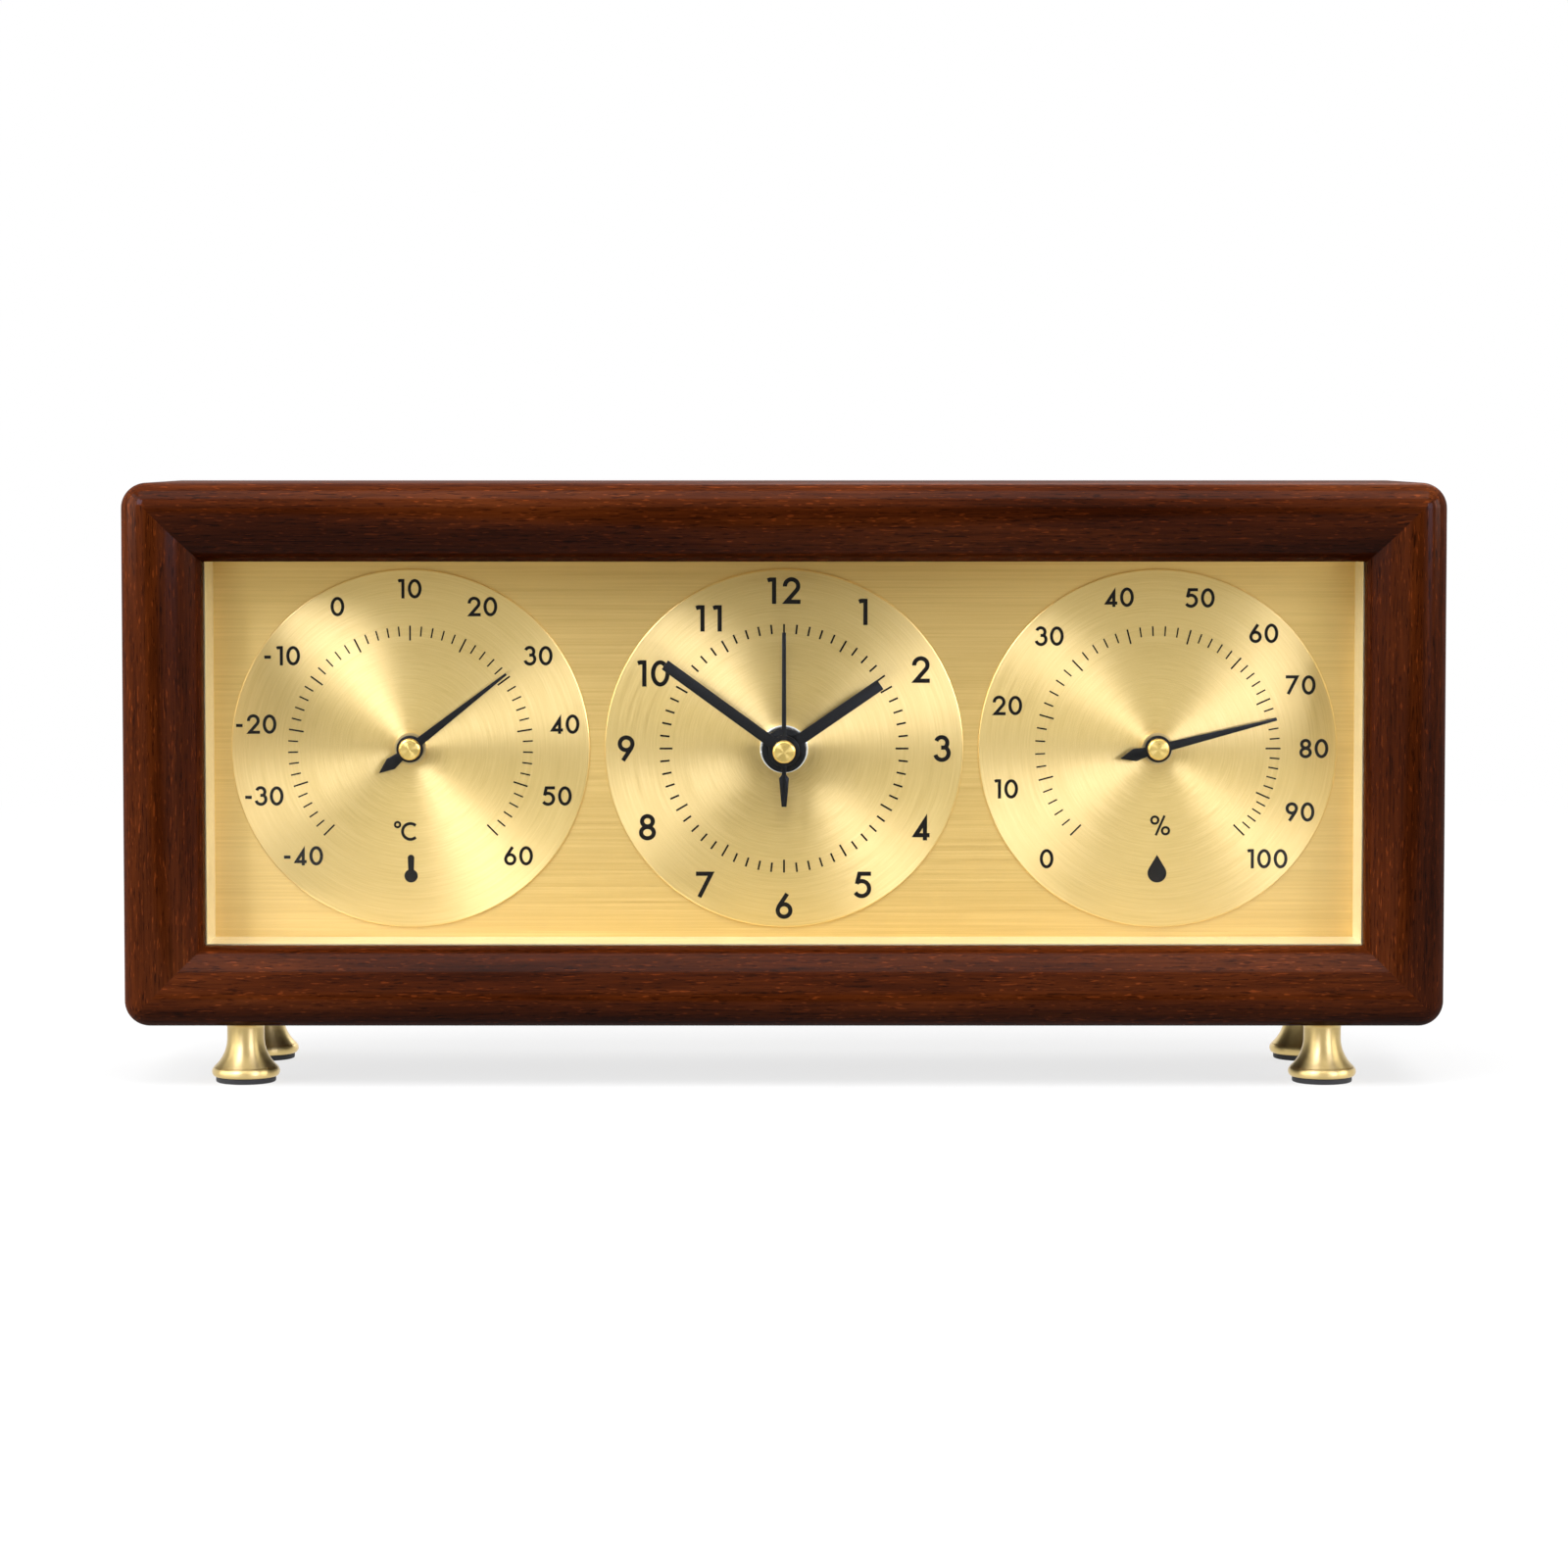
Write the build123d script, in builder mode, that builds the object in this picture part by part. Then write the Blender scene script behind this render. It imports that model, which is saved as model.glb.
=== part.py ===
from build123d import *
import math
import os

os.makedirs("parts", exist_ok=True)

# All lengths are millimetres. X runs to the right seen from the front, Y to the back, Z up.
# The origin is on the table, under the middle of the case.

# Wooden case
case_width = 260.0
case_height = 107.0
case_depth = 60.0
corner_radius = 5.0
nose_radius = 5.0
rail_width = 15.5
lip_drop = 5.5
lip_thickness = 3.5
board_thickness = 11.5
rear_ledge = 4.0
rear_rebate = 4.5

# Feet
foot_height = 12.0
foot_flange_radius = 6.75
foot_flange_height = 2.0
foot_flange_bevel = 0.8
foot_flare_radius = 6.3
foot_flare_height = 5.7
foot_flare_steps = 3
foot_neck_radius = 3.7
foot_collar_radius = 4.7
foot_collar_height = 1.0
foot_collar_bevel = 0.9
foot_pad_radius = 5.95
foot_pad_thickness = 1.1
foot_inset_x = 23.0
foot_inset_y = 12.0
foot_screw_radius = 2.0
foot_screw_head_radius = 3.2
foot_screw_head_height = 1.4
foot_screw_grip = 8.0

# Front stack, from the lip to the back
glass_thickness = 2.0
liner_sheet = 0.8
liner_depth = 14.0
liner_flange = 3.0
plate_thickness = 1.2
dial_thickness = 0.6
dial_radius = 36.0
dial_spacing = 75.0
backing_thickness = 3.0
panel_clearance = 0.3

# Back cover
cover_thickness = 3.0
window_width = 76.0
window_height = 68.0
window_radius = 4.0
vent_length = 30.0
vent_width = 2.6
vent_pitch = 7.0
vent_count = 5
cover_screw_radius = 1.25
cover_screw_head_radius = 1.8
cover_screw_head_height = 1.2
cover_screw_grip = 8.0
cover_screw_place_share = 0.42

# Clips that press the backing board to the liner
clip_width = 10.0
clip_sheet = 1.0
clip_foot = 7.0
clip_leg = 10.0
clip_hole_share = 0.6
clip_place_share = 0.46
clip_screw_radius = 1.2
clip_screw_head_radius = 2.2
clip_screw_head_height = 1.1
clip_screw_grip = 6.5

# Fits
slip = 0.02
running = 0.075
hole_clearance = 0.1
seat_gap = 0.05

# Small round bars and holes are drawn with flat sides: bars inside their circle, holes outside it
screw_sides = 6
bar_sides = 8
pipe_sides = 12
hub_sides = 24
foot_sides = 28

# Clock hands
hand_sheet = 0.5
hour_hand_length = 23.3
hour_hand_width = 2.3
hour_hand_hub_radius = 4.4
hour_collet_radius = 3.5
minute_hand_length = 29.3
minute_hand_width = 2.2
minute_hand_hub_radius = 3.1
minute_collet_radius = 2.5
collet_length = 0.9
second_hand_sheet = 0.3
second_hand_length = 23.7
second_hand_width = 0.7
second_tail_length = 11.0
second_tail_width = 2.0
second_tail_tip = 0.8
second_hub_radius = 1.5
clock_cap_radius = 2.25
clock_cap_height = 1.5
hour_hand_lift = 5.9
minute_hand_lift = 7.9
second_hand_lift = 9.6
hour_angle = 55.5
minute_angle = 306.0
second_angle = 0.0

# Neck, nut and pipes of the clock movement
neck_radius = 3.9
neck_proud = 2.8
nut_radius = 4.8
nut_thickness = 1.8
nut_slot = 1.2
washer_radius = 8.0
washer_thickness = 0.8
hour_pipe_radius = 2.5
minute_pipe_radius = 1.65
second_arbor_radius = 0.55

# Clock movement
movement_side = 56.0
movement_depth = 16.0
movement_corner = 3.0
movement_wall = 1.0
wheel_thickness = 1.2
layer_pitch = 1.9
first_layer = 0.4
bay_wall = 0.8
battery_radius = 7.1
battery_length = 50.5
battery_nub_length = 1.0
battery_nub_radius = 2.75
battery_clearance = 0.1
contact_sheet = 0.4
contact_gap = 0.2
contact_width = 9.0
contact_height = 10.0
boss_radius = 1.6
board_post_radius = 1.0
pivot_radius = 0.5
stud_radius = 0.7
intermediate_stud_radius = 0.5
pivot_depth = 0.5
end_play = 0.2

# Motor and circuit
magnet_radius = 2.6
magnet_length = 1.6
rotor_arbor_radius = 0.4
air_gap = 0.5
stator_sheet = 1.0
stator_rim = 1.5
stator_arm = 3.2
stator_post = 2.0
coil_radius = 2.8
coil_length = 18.0
coil_core_clearance = 0.15
board_width = 8.6
board_height = 18.0
board_sheet = 1.0
crystal_radius = 1.0
crystal_lift_share = 0.8
crystal_length = 6.0
chip_side = 4.0
chip_height = 0.9

# Setting knob
setting_arbor_radius = 1.0
setting_knob_radius = 5.0
setting_knob_height = 3.4
setting_knob_gap = 0.6
setting_rib_depth = 0.5
setting_rib_count = 16
rib_width_share = 0.8

# Thermometer and hygrometer
pointer_sheet = 0.4
pointer_length = 24.5
pointer_root_width = 1.9
pointer_tip_width = 0.5
pointer_tail_length = 7.8
pointer_tail_width = 2.6
tail_widest_share = 0.62
pointer_hub_radius = 2.7
pointer_lift = 1.6
pointer_collet_radius = 1.7
pointer_collet_length = 0.6
pointer_cap_radius = 2.15
pointer_cap_height = 1.5
cap_bevel_share = 0.4
bushing_radius = 2.3
bushing_flange_radius = 3.2
bushing_flange_thickness = 0.7
instrument_nut_radius = 4.0
instrument_nut_thickness = 1.8
arbor_radius = 0.65
coil_strip = 0.4
coil_strip_width = 3.0
coil_turn_pitch = 2.8
coil_turns = 3
coil_steps_per_turn = 12
coil_start = 3.8
collet_radius = 1.8
bridge_sheet = 1.0
bridge_width = 8.0
bridge_base_end = 5.0
bridge_height = 11.0
housing_side = 46.0
housing_corner = 6.0
housing_wall = 1.0
housing_depth = 13.0
housing_ear_width = 9.0
housing_ear_length = 6.0
housing_slot_length = 24.0
housing_slot_width = 2.0
housing_slot_pitch = 6.0
housing_slot_count = 5
housing_screw_radius = 1.0
housing_screw_head_radius = 1.9
housing_screw_head_height = 0.9
housing_screw_grip = 2.4
thermometer_angle = 52.1
hygrometer_angle = 75.9

# Places worked out from the sizes above
case_front = -case_depth / 2
case_back = case_depth / 2
axis_height = foot_height + case_height / 2
inner_width = case_width - 2 * board_thickness
inner_height = case_height - 2 * board_thickness
sight_width = case_width - 2 * rail_width
sight_height = case_height - 2 * rail_width
lip_back = case_front + lip_drop + lip_thickness
glass_back = lip_back + glass_thickness
plate_front = glass_back + liner_depth
plate_back = plate_front + plate_thickness
dial_front = plate_front - dial_thickness
backing_back = plate_back + backing_thickness
movement_front = backing_back + washer_thickness
movement_back = movement_front + movement_depth
movement_split = movement_front + movement_depth / 2
cover_front = case_back - rear_rebate
front_feet_y = case_front + foot_inset_y
rear_feet_y = case_back - foot_inset_y
feet_x = case_width / 2 - foot_inset_x
thermometer_x = -dial_spacing
hygrometer_x = dial_spacing


def finish(piece, name):
    """Label a finished piece and write it."""
    piece.part.label = name
    export_step(piece.part, f"parts/{name}.step")


def front_plane(y, x=0.0):
    """Plane at depth y that faces the front, with its origin on the axis of a dial."""
    return Plane(origin=(x, y, axis_height), x_dir=(1, 0, 0), z_dir=(0, -1, 0))


def rod(y_front, y_back, radius, centre=(0, 0), x=0.0, mode=Mode.ADD):
    """Round bar or bore along the depth, between two depths."""
    with BuildSketch(front_plane(y_back, x)) as section:
        with Locations(centre):
            Circle(radius)
    extrude(section.sketch, amount=y_back - y_front, mode=mode)


def bar(y_front, y_back, radius, sides=bar_sides, centre=(0, 0), x=0.0):
    """Small round bar along the depth, drawn with flat sides inside its circle."""
    with BuildSketch(front_plane(y_back, x)) as section:
        with Locations(centre):
            RegularPolygon(radius, sides)
    extrude(section.sketch, amount=y_back - y_front)


def bore(y_front, y_back, radius, sides=bar_sides, centre=(0, 0), x=0.0):
    """Small round hole along the depth, drawn with flat sides outside its circle."""
    with BuildSketch(front_plane(y_back, x)) as section:
        with Locations(centre):
            RegularPolygon(radius, sides, major_radius=False)
    extrude(section.sketch, amount=y_back - y_front, mode=Mode.SUBTRACT)


def block(y_front, y_back, width, height, centre=(0, 0), x=0.0, mode=Mode.ADD):
    """Rectangular block between two depths."""
    with BuildSketch(front_plane(y_back, x)) as section:
        with Locations(centre):
            Rectangle(width, height)
    extrude(section.sketch, amount=y_back - y_front, mode=mode)


def polar(distance, degrees, start=(0, 0)):
    """Point at a distance and an angle, counter-clockwise from +X, from a start point."""
    angle = math.radians(degrees)
    return (start[0] + distance * math.cos(angle), start[1] + distance * math.sin(angle))


# The case: one moulding, cut into four mitred boards

def draw_moulding():
    """Cross-section of a board: local x inwards from the outer face, local y to the back."""
    with BuildLine() as outline:
        crest = (nose_radius, 0)
        sight_edge = (rail_width, lip_drop)
        CenterArc((nose_radius, nose_radius), nose_radius, 180, 90)
        TangentArc(crest, sight_edge, tangent=(1, 0))
        Polyline(
            sight_edge,
            (rail_width, lip_drop + lip_thickness),
            (board_thickness, lip_drop + lip_thickness),
            (board_thickness, case_depth - rear_rebate),
            (board_thickness - rear_ledge, case_depth - rear_rebate),
            (board_thickness - rear_ledge, case_depth),
            (0, case_depth),
            (0, nose_radius),
        )
    make_face(outline.edges())


def build_board(origin, inward, length):
    """One board with a 45 degree mitre at each end, and its half of each rounded corner."""
    section_plane = Plane(origin=origin, x_dir=inward, z_dir=Vector(*inward).cross(Vector(0, 1, 0)))
    half_straight = length / 2 - corner_radius
    with BuildSketch(section_plane) as section:
        draw_moulding()
    extrude(section.sketch, amount=half_straight, both=True)

    outline_plane = Plane(origin=origin, x_dir=section_plane.z_dir, z_dir=(0, 1, 0))
    side = 1 if (outline_plane.y_dir - Vector(*inward)).length < 1 else -1
    with BuildSketch(outline_plane) as outline:
        Polygon(
            (-length / 2, 0),
            (length / 2, 0),
            (length / 2 - rail_width, side * rail_width),
            (-length / 2 + rail_width, side * rail_width),
            align=None,
        )
    extrude(outline.sketch, amount=case_depth, mode=Mode.INTERSECT)

    for end in (-1, 1):
        end_plane = section_plane.offset(end * half_straight)
        with BuildSketch(end_plane) as corner:
            draw_moulding()
            Rectangle(corner_radius, case_depth, align=(Align.MIN, Align.MIN), mode=Mode.INTERSECT)
        hinge = end_plane.from_local_coords(Vector(corner_radius, 0, 0))
        revolve(corner.sketch, axis=Axis(hinge, Vector(0, end, 0)), revolution_arc=45)


clip_places = [side * clip_place_share * inner_width for side in (-1, 1)]
cover_screw_places = [side * cover_screw_place_share * inner_width for side in (-1, 1)]
clip_hole_y = backing_back + clip_leg * clip_hole_share
cover_screw_line = inner_height / 2 + rear_ledge / 2


def cut_fastener_holes(edge):
    """Screw holes in the top board (edge 1) or the bottom board (edge -1)."""
    wall = axis_height + edge * inner_height / 2
    inside_plane = Plane(origin=(0, 0, wall), x_dir=(1, 0, 0), z_dir=(0, 0, edge))
    with BuildSketch(inside_plane) as clip_holes:
        with Locations(*[(x, edge * clip_hole_y) for x in clip_places]):
            RegularPolygon(clip_screw_radius + slip, screw_sides, major_radius=False)
    extrude(clip_holes.sketch, amount=clip_screw_grip + seat_gap, mode=Mode.SUBTRACT)
    for x in cover_screw_places:
        bore(cover_front - cover_screw_grip - seat_gap, case_back, cover_screw_radius + slip,
             screw_sides, centre=(x, edge * cover_screw_line))


with BuildPart() as case_top:
    build_board((0, case_front, foot_height + case_height), (0, 0, -1), case_width)
    cut_fastener_holes(1)
finish(case_top, "case_top")

feet_places = {
    "foot_front_left": (-feet_x, front_feet_y),
    "foot_front_right": (feet_x, front_feet_y),
    "foot_rear_left": (-feet_x, rear_feet_y),
    "foot_rear_right": (feet_x, rear_feet_y),
}

with BuildPart() as case_bottom:
    build_board((0, case_front, foot_height), (0, 0, 1), case_width)
    cut_fastener_holes(-1)
    with BuildSketch(Plane.XY.offset(foot_height)) as foot_screw_holes:
        with Locations(*feet_places.values()):
            RegularPolygon(foot_screw_radius + slip, screw_sides, major_radius=False)
    extrude(foot_screw_holes.sketch, amount=foot_screw_grip + seat_gap, mode=Mode.SUBTRACT)
finish(case_bottom, "case_bottom")

with BuildPart() as case_left:
    build_board((-case_width / 2, case_front, axis_height), (1, 0, 0), case_height)
finish(case_left, "case_left")

with BuildPart() as case_right:
    build_board((case_width / 2, case_front, axis_height), (-1, 0, 0), case_height)
finish(case_right, "case_right")


# Feet: turned brass, with a screw up into the case and a rubber pad over its head

flange_top = foot_pad_thickness + foot_flange_height
flange_middle = foot_pad_thickness + foot_flange_height / 2
flare_top = flange_top + foot_flare_height
flare_spread = foot_flare_radius - foot_neck_radius
sweep_radius = (flare_spread**2 + foot_flare_height**2) / (2 * flare_spread)
sweep_angle = math.degrees(math.asin(foot_flare_height / sweep_radius))
collar_bottom = foot_height - foot_collar_height
head_seat = foot_pad_thickness + foot_screw_head_height + seat_gap


def flare_point(step):
    """Radius and height on the hollow flare, whose arc leaves the neck upright, from the flange up."""
    angle = 180 + sweep_angle * (1 - step / foot_flare_steps)
    return polar(sweep_radius, angle, (foot_neck_radius + sweep_radius, flare_top))


foot_profile = [
    (foot_flange_radius, foot_pad_thickness),
    (foot_flange_radius, flange_middle),
    *[flare_point(step) for step in range(foot_flare_steps + 1)],
    (foot_neck_radius, collar_bottom),
]


def foot_plane(height, place=(0, 0)):
    """Level plane at a height above the table, with its origin over a place on it."""
    return Plane(origin=(place[0], place[1], height))


def foot_ring(place, radius, bottom, top, top_radius):
    """Flat-sided ring of a foot that keeps its radius or narrows upwards, given to the flats."""
    with BuildSketch(foot_plane(bottom, place)) as ring:
        RegularPolygon(radius, foot_sides, major_radius=False)
    slope = math.degrees(math.atan2(radius - top_radius, top - bottom))
    extrude(ring.sketch, amount=top - bottom, taper=slope)


for name, place in feet_places.items():
    with BuildPart() as foot:
        for (radius, bottom), (top_radius, top) in zip(foot_profile, foot_profile[1:]):
            foot_ring(place, radius, bottom, top, top_radius)
        chamfer(foot.faces().sort_by(Axis.Z)[0].outer_wire().edges(), foot_flange_bevel)
        foot_ring(place, foot_collar_radius, collar_bottom, foot_height, foot_collar_radius)
        underside = foot.faces().filter_by(Axis.Z).sort_by(Axis.Z)[-2]
        chamfer(underside.outer_wire().edges(), foot_collar_bevel)
        with BuildSketch(foot_plane(foot_pad_thickness, place)) as screw_bore:
            RegularPolygon(foot_screw_radius + hole_clearance, bar_sides, major_radius=False)
        extrude(screw_bore.sketch, amount=foot_height - foot_pad_thickness, mode=Mode.SUBTRACT)
        with BuildSketch(foot_plane(foot_pad_thickness, place)) as head_bore:
            RegularPolygon(foot_screw_head_radius + hole_clearance, bar_sides, major_radius=False)
        extrude(head_bore.sketch, amount=head_seat - foot_pad_thickness, mode=Mode.SUBTRACT)
    finish(foot, name)

with BuildPart() as foot_pads:
    with BuildSketch(Plane.XY):
        with Locations(*feet_places.values()):
            RegularPolygon(foot_pad_radius, hub_sides)
    extrude(amount=foot_pad_thickness)
finish(foot_pads, "foot_pads")

with BuildPart() as foot_screws:
    with BuildSketch(foot_plane(head_seat)):
        with Locations(*feet_places.values()):
            RegularPolygon(foot_screw_head_radius, bar_sides)
    extrude(amount=-foot_screw_head_height)
    with BuildSketch(foot_plane(head_seat)):
        with Locations(*feet_places.values()):
            RegularPolygon(foot_screw_radius, screw_sides)
    extrude(amount=foot_height + foot_screw_grip - head_seat)
finish(foot_screws, "foot_screws")


# Back cover

with BuildPart() as back_cover:
    cover_width = inner_width + 2 * rear_ledge - 2 * panel_clearance
    cover_height = inner_height + 2 * rear_ledge - 2 * panel_clearance
    with BuildSketch(front_plane(cover_front + cover_thickness)):
        Rectangle(cover_width, cover_height)
        RectangleRounded(window_width, window_height, window_radius, mode=Mode.SUBTRACT)
        for x in (thermometer_x, hygrometer_x):
            with Locations((x, 0)):
                with GridLocations(0, vent_pitch, 1, vent_count):
                    Rectangle(vent_length, vent_width, mode=Mode.SUBTRACT)
    extrude(amount=cover_thickness)
    for edge in (-1, 1):
        for x in cover_screw_places:
            bore(cover_front, cover_front + cover_thickness, cover_screw_radius + hole_clearance,
                 screw_sides, centre=(x, edge * cover_screw_line))
finish(back_cover, "back_cover")

with BuildPart() as back_screws:
    cover_back = cover_front + cover_thickness
    for edge in (-1, 1):
        for x in cover_screw_places:
            place = (x, edge * cover_screw_line)
            bar(cover_front - cover_screw_grip, cover_back, cover_screw_radius, screw_sides, centre=place)
            bar(cover_back, cover_back + cover_screw_head_height, cover_screw_head_radius, centre=place)
finish(back_screws, "back_screws")


# Front stack

with BuildPart() as front_glass:
    block(lip_back, glass_back, inner_width - 2 * panel_clearance, inner_height - 2 * panel_clearance)
finish(front_glass, "front_glass")

with BuildPart() as brass_liner:
    block(glass_back, glass_back + liner_sheet,
          sight_width + 2 * liner_flange, sight_height + 2 * liner_flange)
    block(glass_back, plate_front, sight_width + 2 * liner_sheet, sight_height + 2 * liner_sheet)
    block(glass_back, plate_front, sight_width, sight_height, mode=Mode.SUBTRACT)
finish(brass_liner, "brass_liner")

with BuildPart() as dial_plate:
    block(plate_front, plate_back, inner_width - 2 * panel_clearance, inner_height - 2 * panel_clearance)
    bore(plate_front, plate_back, neck_radius + hole_clearance, pipe_sides)
    for x in (thermometer_x, hygrometer_x):
        bore(plate_front, plate_back, bushing_radius + hole_clearance, pipe_sides, x=x)
finish(dial_plate, "dial_plate")

housing_screw_places = [
    (0, side * (housing_side + housing_ear_length) / 2) for side in (-1, 1)
]

with BuildPart() as backing_board:
    block(plate_back, backing_back, inner_width - 2 * panel_clearance, inner_height - 2 * panel_clearance)
    bore(plate_back, backing_back, neck_radius + hole_clearance, pipe_sides)
    for x in (thermometer_x, hygrometer_x):
        bore(plate_back, backing_back, bushing_radius + hole_clearance, pipe_sides, x=x)
        for place in housing_screw_places:
            bore(backing_back - housing_screw_grip - seat_gap, backing_back, housing_screw_radius + slip,
                 screw_sides, centre=place, x=x)
finish(backing_board, "backing_board")

dial_bores = {
    "thermometer_dial": (thermometer_x, bushing_radius),
    "clock_dial": (0.0, neck_radius),
    "hygrometer_dial": (hygrometer_x, bushing_radius),
}
for name, (x, bore_radius) in dial_bores.items():
    with BuildPart() as dial:
        rod(dial_front, plate_front, dial_radius, x=x)
        bore(dial_front, plate_front, bore_radius + hole_clearance, pipe_sides, x=x)
    finish(dial, name)

with BuildPart() as retaining_clips:
    wall = axis_height + inner_height / 2
    for x in clip_places:
        with BuildSketch(Plane(origin=(x - clip_width / 2, 0, wall), x_dir=(0, 1, 0), z_dir=(1, 0, 0))) as bend:
            with BuildLine():
                Polyline(
                    (backing_back, -clip_foot),
                    (backing_back + clip_sheet, -clip_foot),
                    (backing_back + clip_sheet, -clip_sheet - seat_gap),
                    (backing_back + clip_leg, -clip_sheet - seat_gap),
                    (backing_back + clip_leg, -seat_gap),
                    (backing_back, -seat_gap),
                    close=True,
                )
            make_face()
        extrude(bend.sketch, amount=clip_width)
    with BuildSketch(Plane.XY.offset(wall - clip_foot)) as clip_bores:
        with Locations(*[(x, clip_hole_y) for x in clip_places]):
            RegularPolygon(clip_screw_radius + hole_clearance, screw_sides, major_radius=False)
    extrude(clip_bores.sketch, amount=clip_foot, mode=Mode.SUBTRACT)
    mirror(about=Plane.XY.offset(axis_height))
finish(retaining_clips, "retaining_clips")

with BuildPart() as clip_screws:
    head_level = wall - seat_gap - clip_sheet
    with BuildSketch(Plane.XY.offset(head_level)):
        with Locations(*[(x, clip_hole_y) for x in clip_places]):
            RegularPolygon(clip_screw_head_radius, bar_sides)
    extrude(amount=-clip_screw_head_height)
    with BuildSketch(Plane.XY.offset(head_level)):
        with Locations(*[(x, clip_hole_y) for x in clip_places]):
            RegularPolygon(clip_screw_radius, screw_sides)
    extrude(amount=clip_sheet + seat_gap + clip_screw_grip)
    mirror(about=Plane.XY.offset(axis_height))
finish(clip_screws, "clip_screws")


# Thermometer and hygrometer: a pointer on an arbor that a flat coil turns

coil_front = backing_back + coil_start
coil_back = coil_front + coil_strip_width
bridge_back = backing_back + bridge_height
pointer_back = dial_front - pointer_lift


def spiral_radius(turns):
    """Radius of the coil's middle line after a number of turns."""
    return collet_radius + seat_gap + coil_strip / 2 + turns * coil_turn_pitch


def spiral_side(offset):
    """Points of one side of the coiled strip, which ends on the +x side."""
    steps = round(coil_turns * coil_steps_per_turn)
    first_angle = -360 * coil_turns
    return [
        polar(spiral_radius(step / coil_steps_per_turn) + offset,
              first_angle + step * 360 / coil_steps_per_turn)
        for step in range(steps + 1)
    ]


inner_side, outer_side = spiral_side(-coil_strip / 2), spiral_side(coil_strip / 2)
print("coil, least gap to itself:", round(min(
    math.dist(here, later)
    for here, later in zip(outer_side, inner_side[coil_steps_per_turn:])
), 2))

leg_x = spiral_radius(coil_turns) + coil_strip / 2 + seat_gap
screw_seat = backing_back + housing_wall

instruments = {
    "thermometer": (thermometer_x, thermometer_angle),
    "hygrometer": (hygrometer_x, hygrometer_angle),
}

for name, (x, angle) in instruments.items():
    nut_front = backing_back + bridge_sheet
    nut_back = nut_front + instrument_nut_thickness

    with BuildPart() as bushing:
        bar(dial_front - bushing_flange_thickness, dial_front, bushing_flange_radius, hub_sides, x=x)
        bar(dial_front, nut_back, bushing_radius, pipe_sides, x=x)
        bore(dial_front - bushing_flange_thickness, nut_back, arbor_radius + running, x=x)
    finish(bushing, f"{name}_bushing")

    with BuildPart() as arbor:
        bar(pointer_back - pointer_sheet, bridge_back + end_play, arbor_radius, x=x)
        bar(coil_front, coil_back, collet_radius, pipe_sides, x=x)
    finish(arbor, f"{name}_arbor")

    with BuildPart() as pointer:
        with BuildSketch(front_plane(pointer_back, x)) as blade:
            Polygon(
                (pointer_tip_width / 2, pointer_length),
                (pointer_root_width / 2, 0),
                (pointer_tail_width / 2, -pointer_tail_length * tail_widest_share),
                (0, -pointer_tail_length),
                (-pointer_tail_width / 2, -pointer_tail_length * tail_widest_share),
                (-pointer_root_width / 2, 0),
                (-pointer_tip_width / 2, pointer_length),
                rotation=-angle,
                align=None,
            )
            RegularPolygon(pointer_hub_radius, hub_sides)
        extrude(blade.sketch, amount=pointer_sheet)
        bar(pointer_back, pointer_back + pointer_collet_length, pointer_collet_radius, pipe_sides, x=x)
        bore(pointer_back - pointer_sheet, pointer_back + pointer_collet_length, arbor_radius + slip, x=x)
    finish(pointer, f"{name}_pointer")

    with BuildPart() as cap:
        cap_back = pointer_back - pointer_sheet
        bar(cap_back - pointer_cap_height, cap_back, pointer_cap_radius, hub_sides, x=x)
        chamfer(cap.faces().sort_by(Axis.Y)[0].edges(), pointer_cap_height * cap_bevel_share)
    finish(cap, f"{name}_cap")

    with BuildPart() as coil:
        with BuildSketch(front_plane(coil_back, x)) as strip:
            Polygon(*inner_side, *reversed(outer_side), align=None)
        extrude(strip.sketch, amount=coil_strip_width)
    finish(coil, f"{name}_coil")

    with BuildPart() as bridge:
        for y_front in (backing_back, bridge_back - bridge_sheet):
            block(y_front, y_front + bridge_sheet, leg_x + bridge_base_end + bridge_sheet, bridge_width,
                  centre=((leg_x - bridge_base_end + bridge_sheet) / 2, 0), x=x)
        block(backing_back, bridge_back, bridge_sheet, bridge_width, centre=(leg_x + bridge_sheet / 2, 0), x=x)
        bore(backing_back, backing_back + bridge_sheet, bushing_radius + hole_clearance, pipe_sides, x=x)
        bore(bridge_back - bridge_sheet, bridge_back, arbor_radius + running, x=x)
    finish(bridge, f"{name}_bridge")

    with BuildPart() as housing:
        housing_back = backing_back + housing_depth
        with BuildSketch(front_plane(housing_back, x)) as outside:
            Rectangle(housing_side, housing_side)
            chamfer(outside.vertices(), housing_corner)
        extrude(outside.sketch, amount=housing_depth)
        for place in housing_screw_places:
            block(backing_back, screw_seat, housing_ear_width, housing_ear_length, centre=place, x=x)
        with BuildSketch(front_plane(housing_back - housing_wall, x)) as inside:
            Rectangle(housing_side - 2 * housing_wall, housing_side - 2 * housing_wall)
            chamfer(inside.vertices(), housing_corner - housing_wall)
        extrude(inside.sketch, amount=housing_depth - housing_wall, mode=Mode.SUBTRACT)
        with BuildSketch(front_plane(housing_back, x)) as slots:
            with GridLocations(0, housing_slot_pitch, 1, housing_slot_count):
                Rectangle(housing_slot_length, housing_slot_width)
        extrude(slots.sketch, amount=housing_wall, mode=Mode.SUBTRACT)
        for place in housing_screw_places:
            bore(backing_back, screw_seat, housing_screw_radius + hole_clearance, screw_sides,
                 centre=place, x=x)
    finish(housing, f"{name}_housing")

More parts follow.
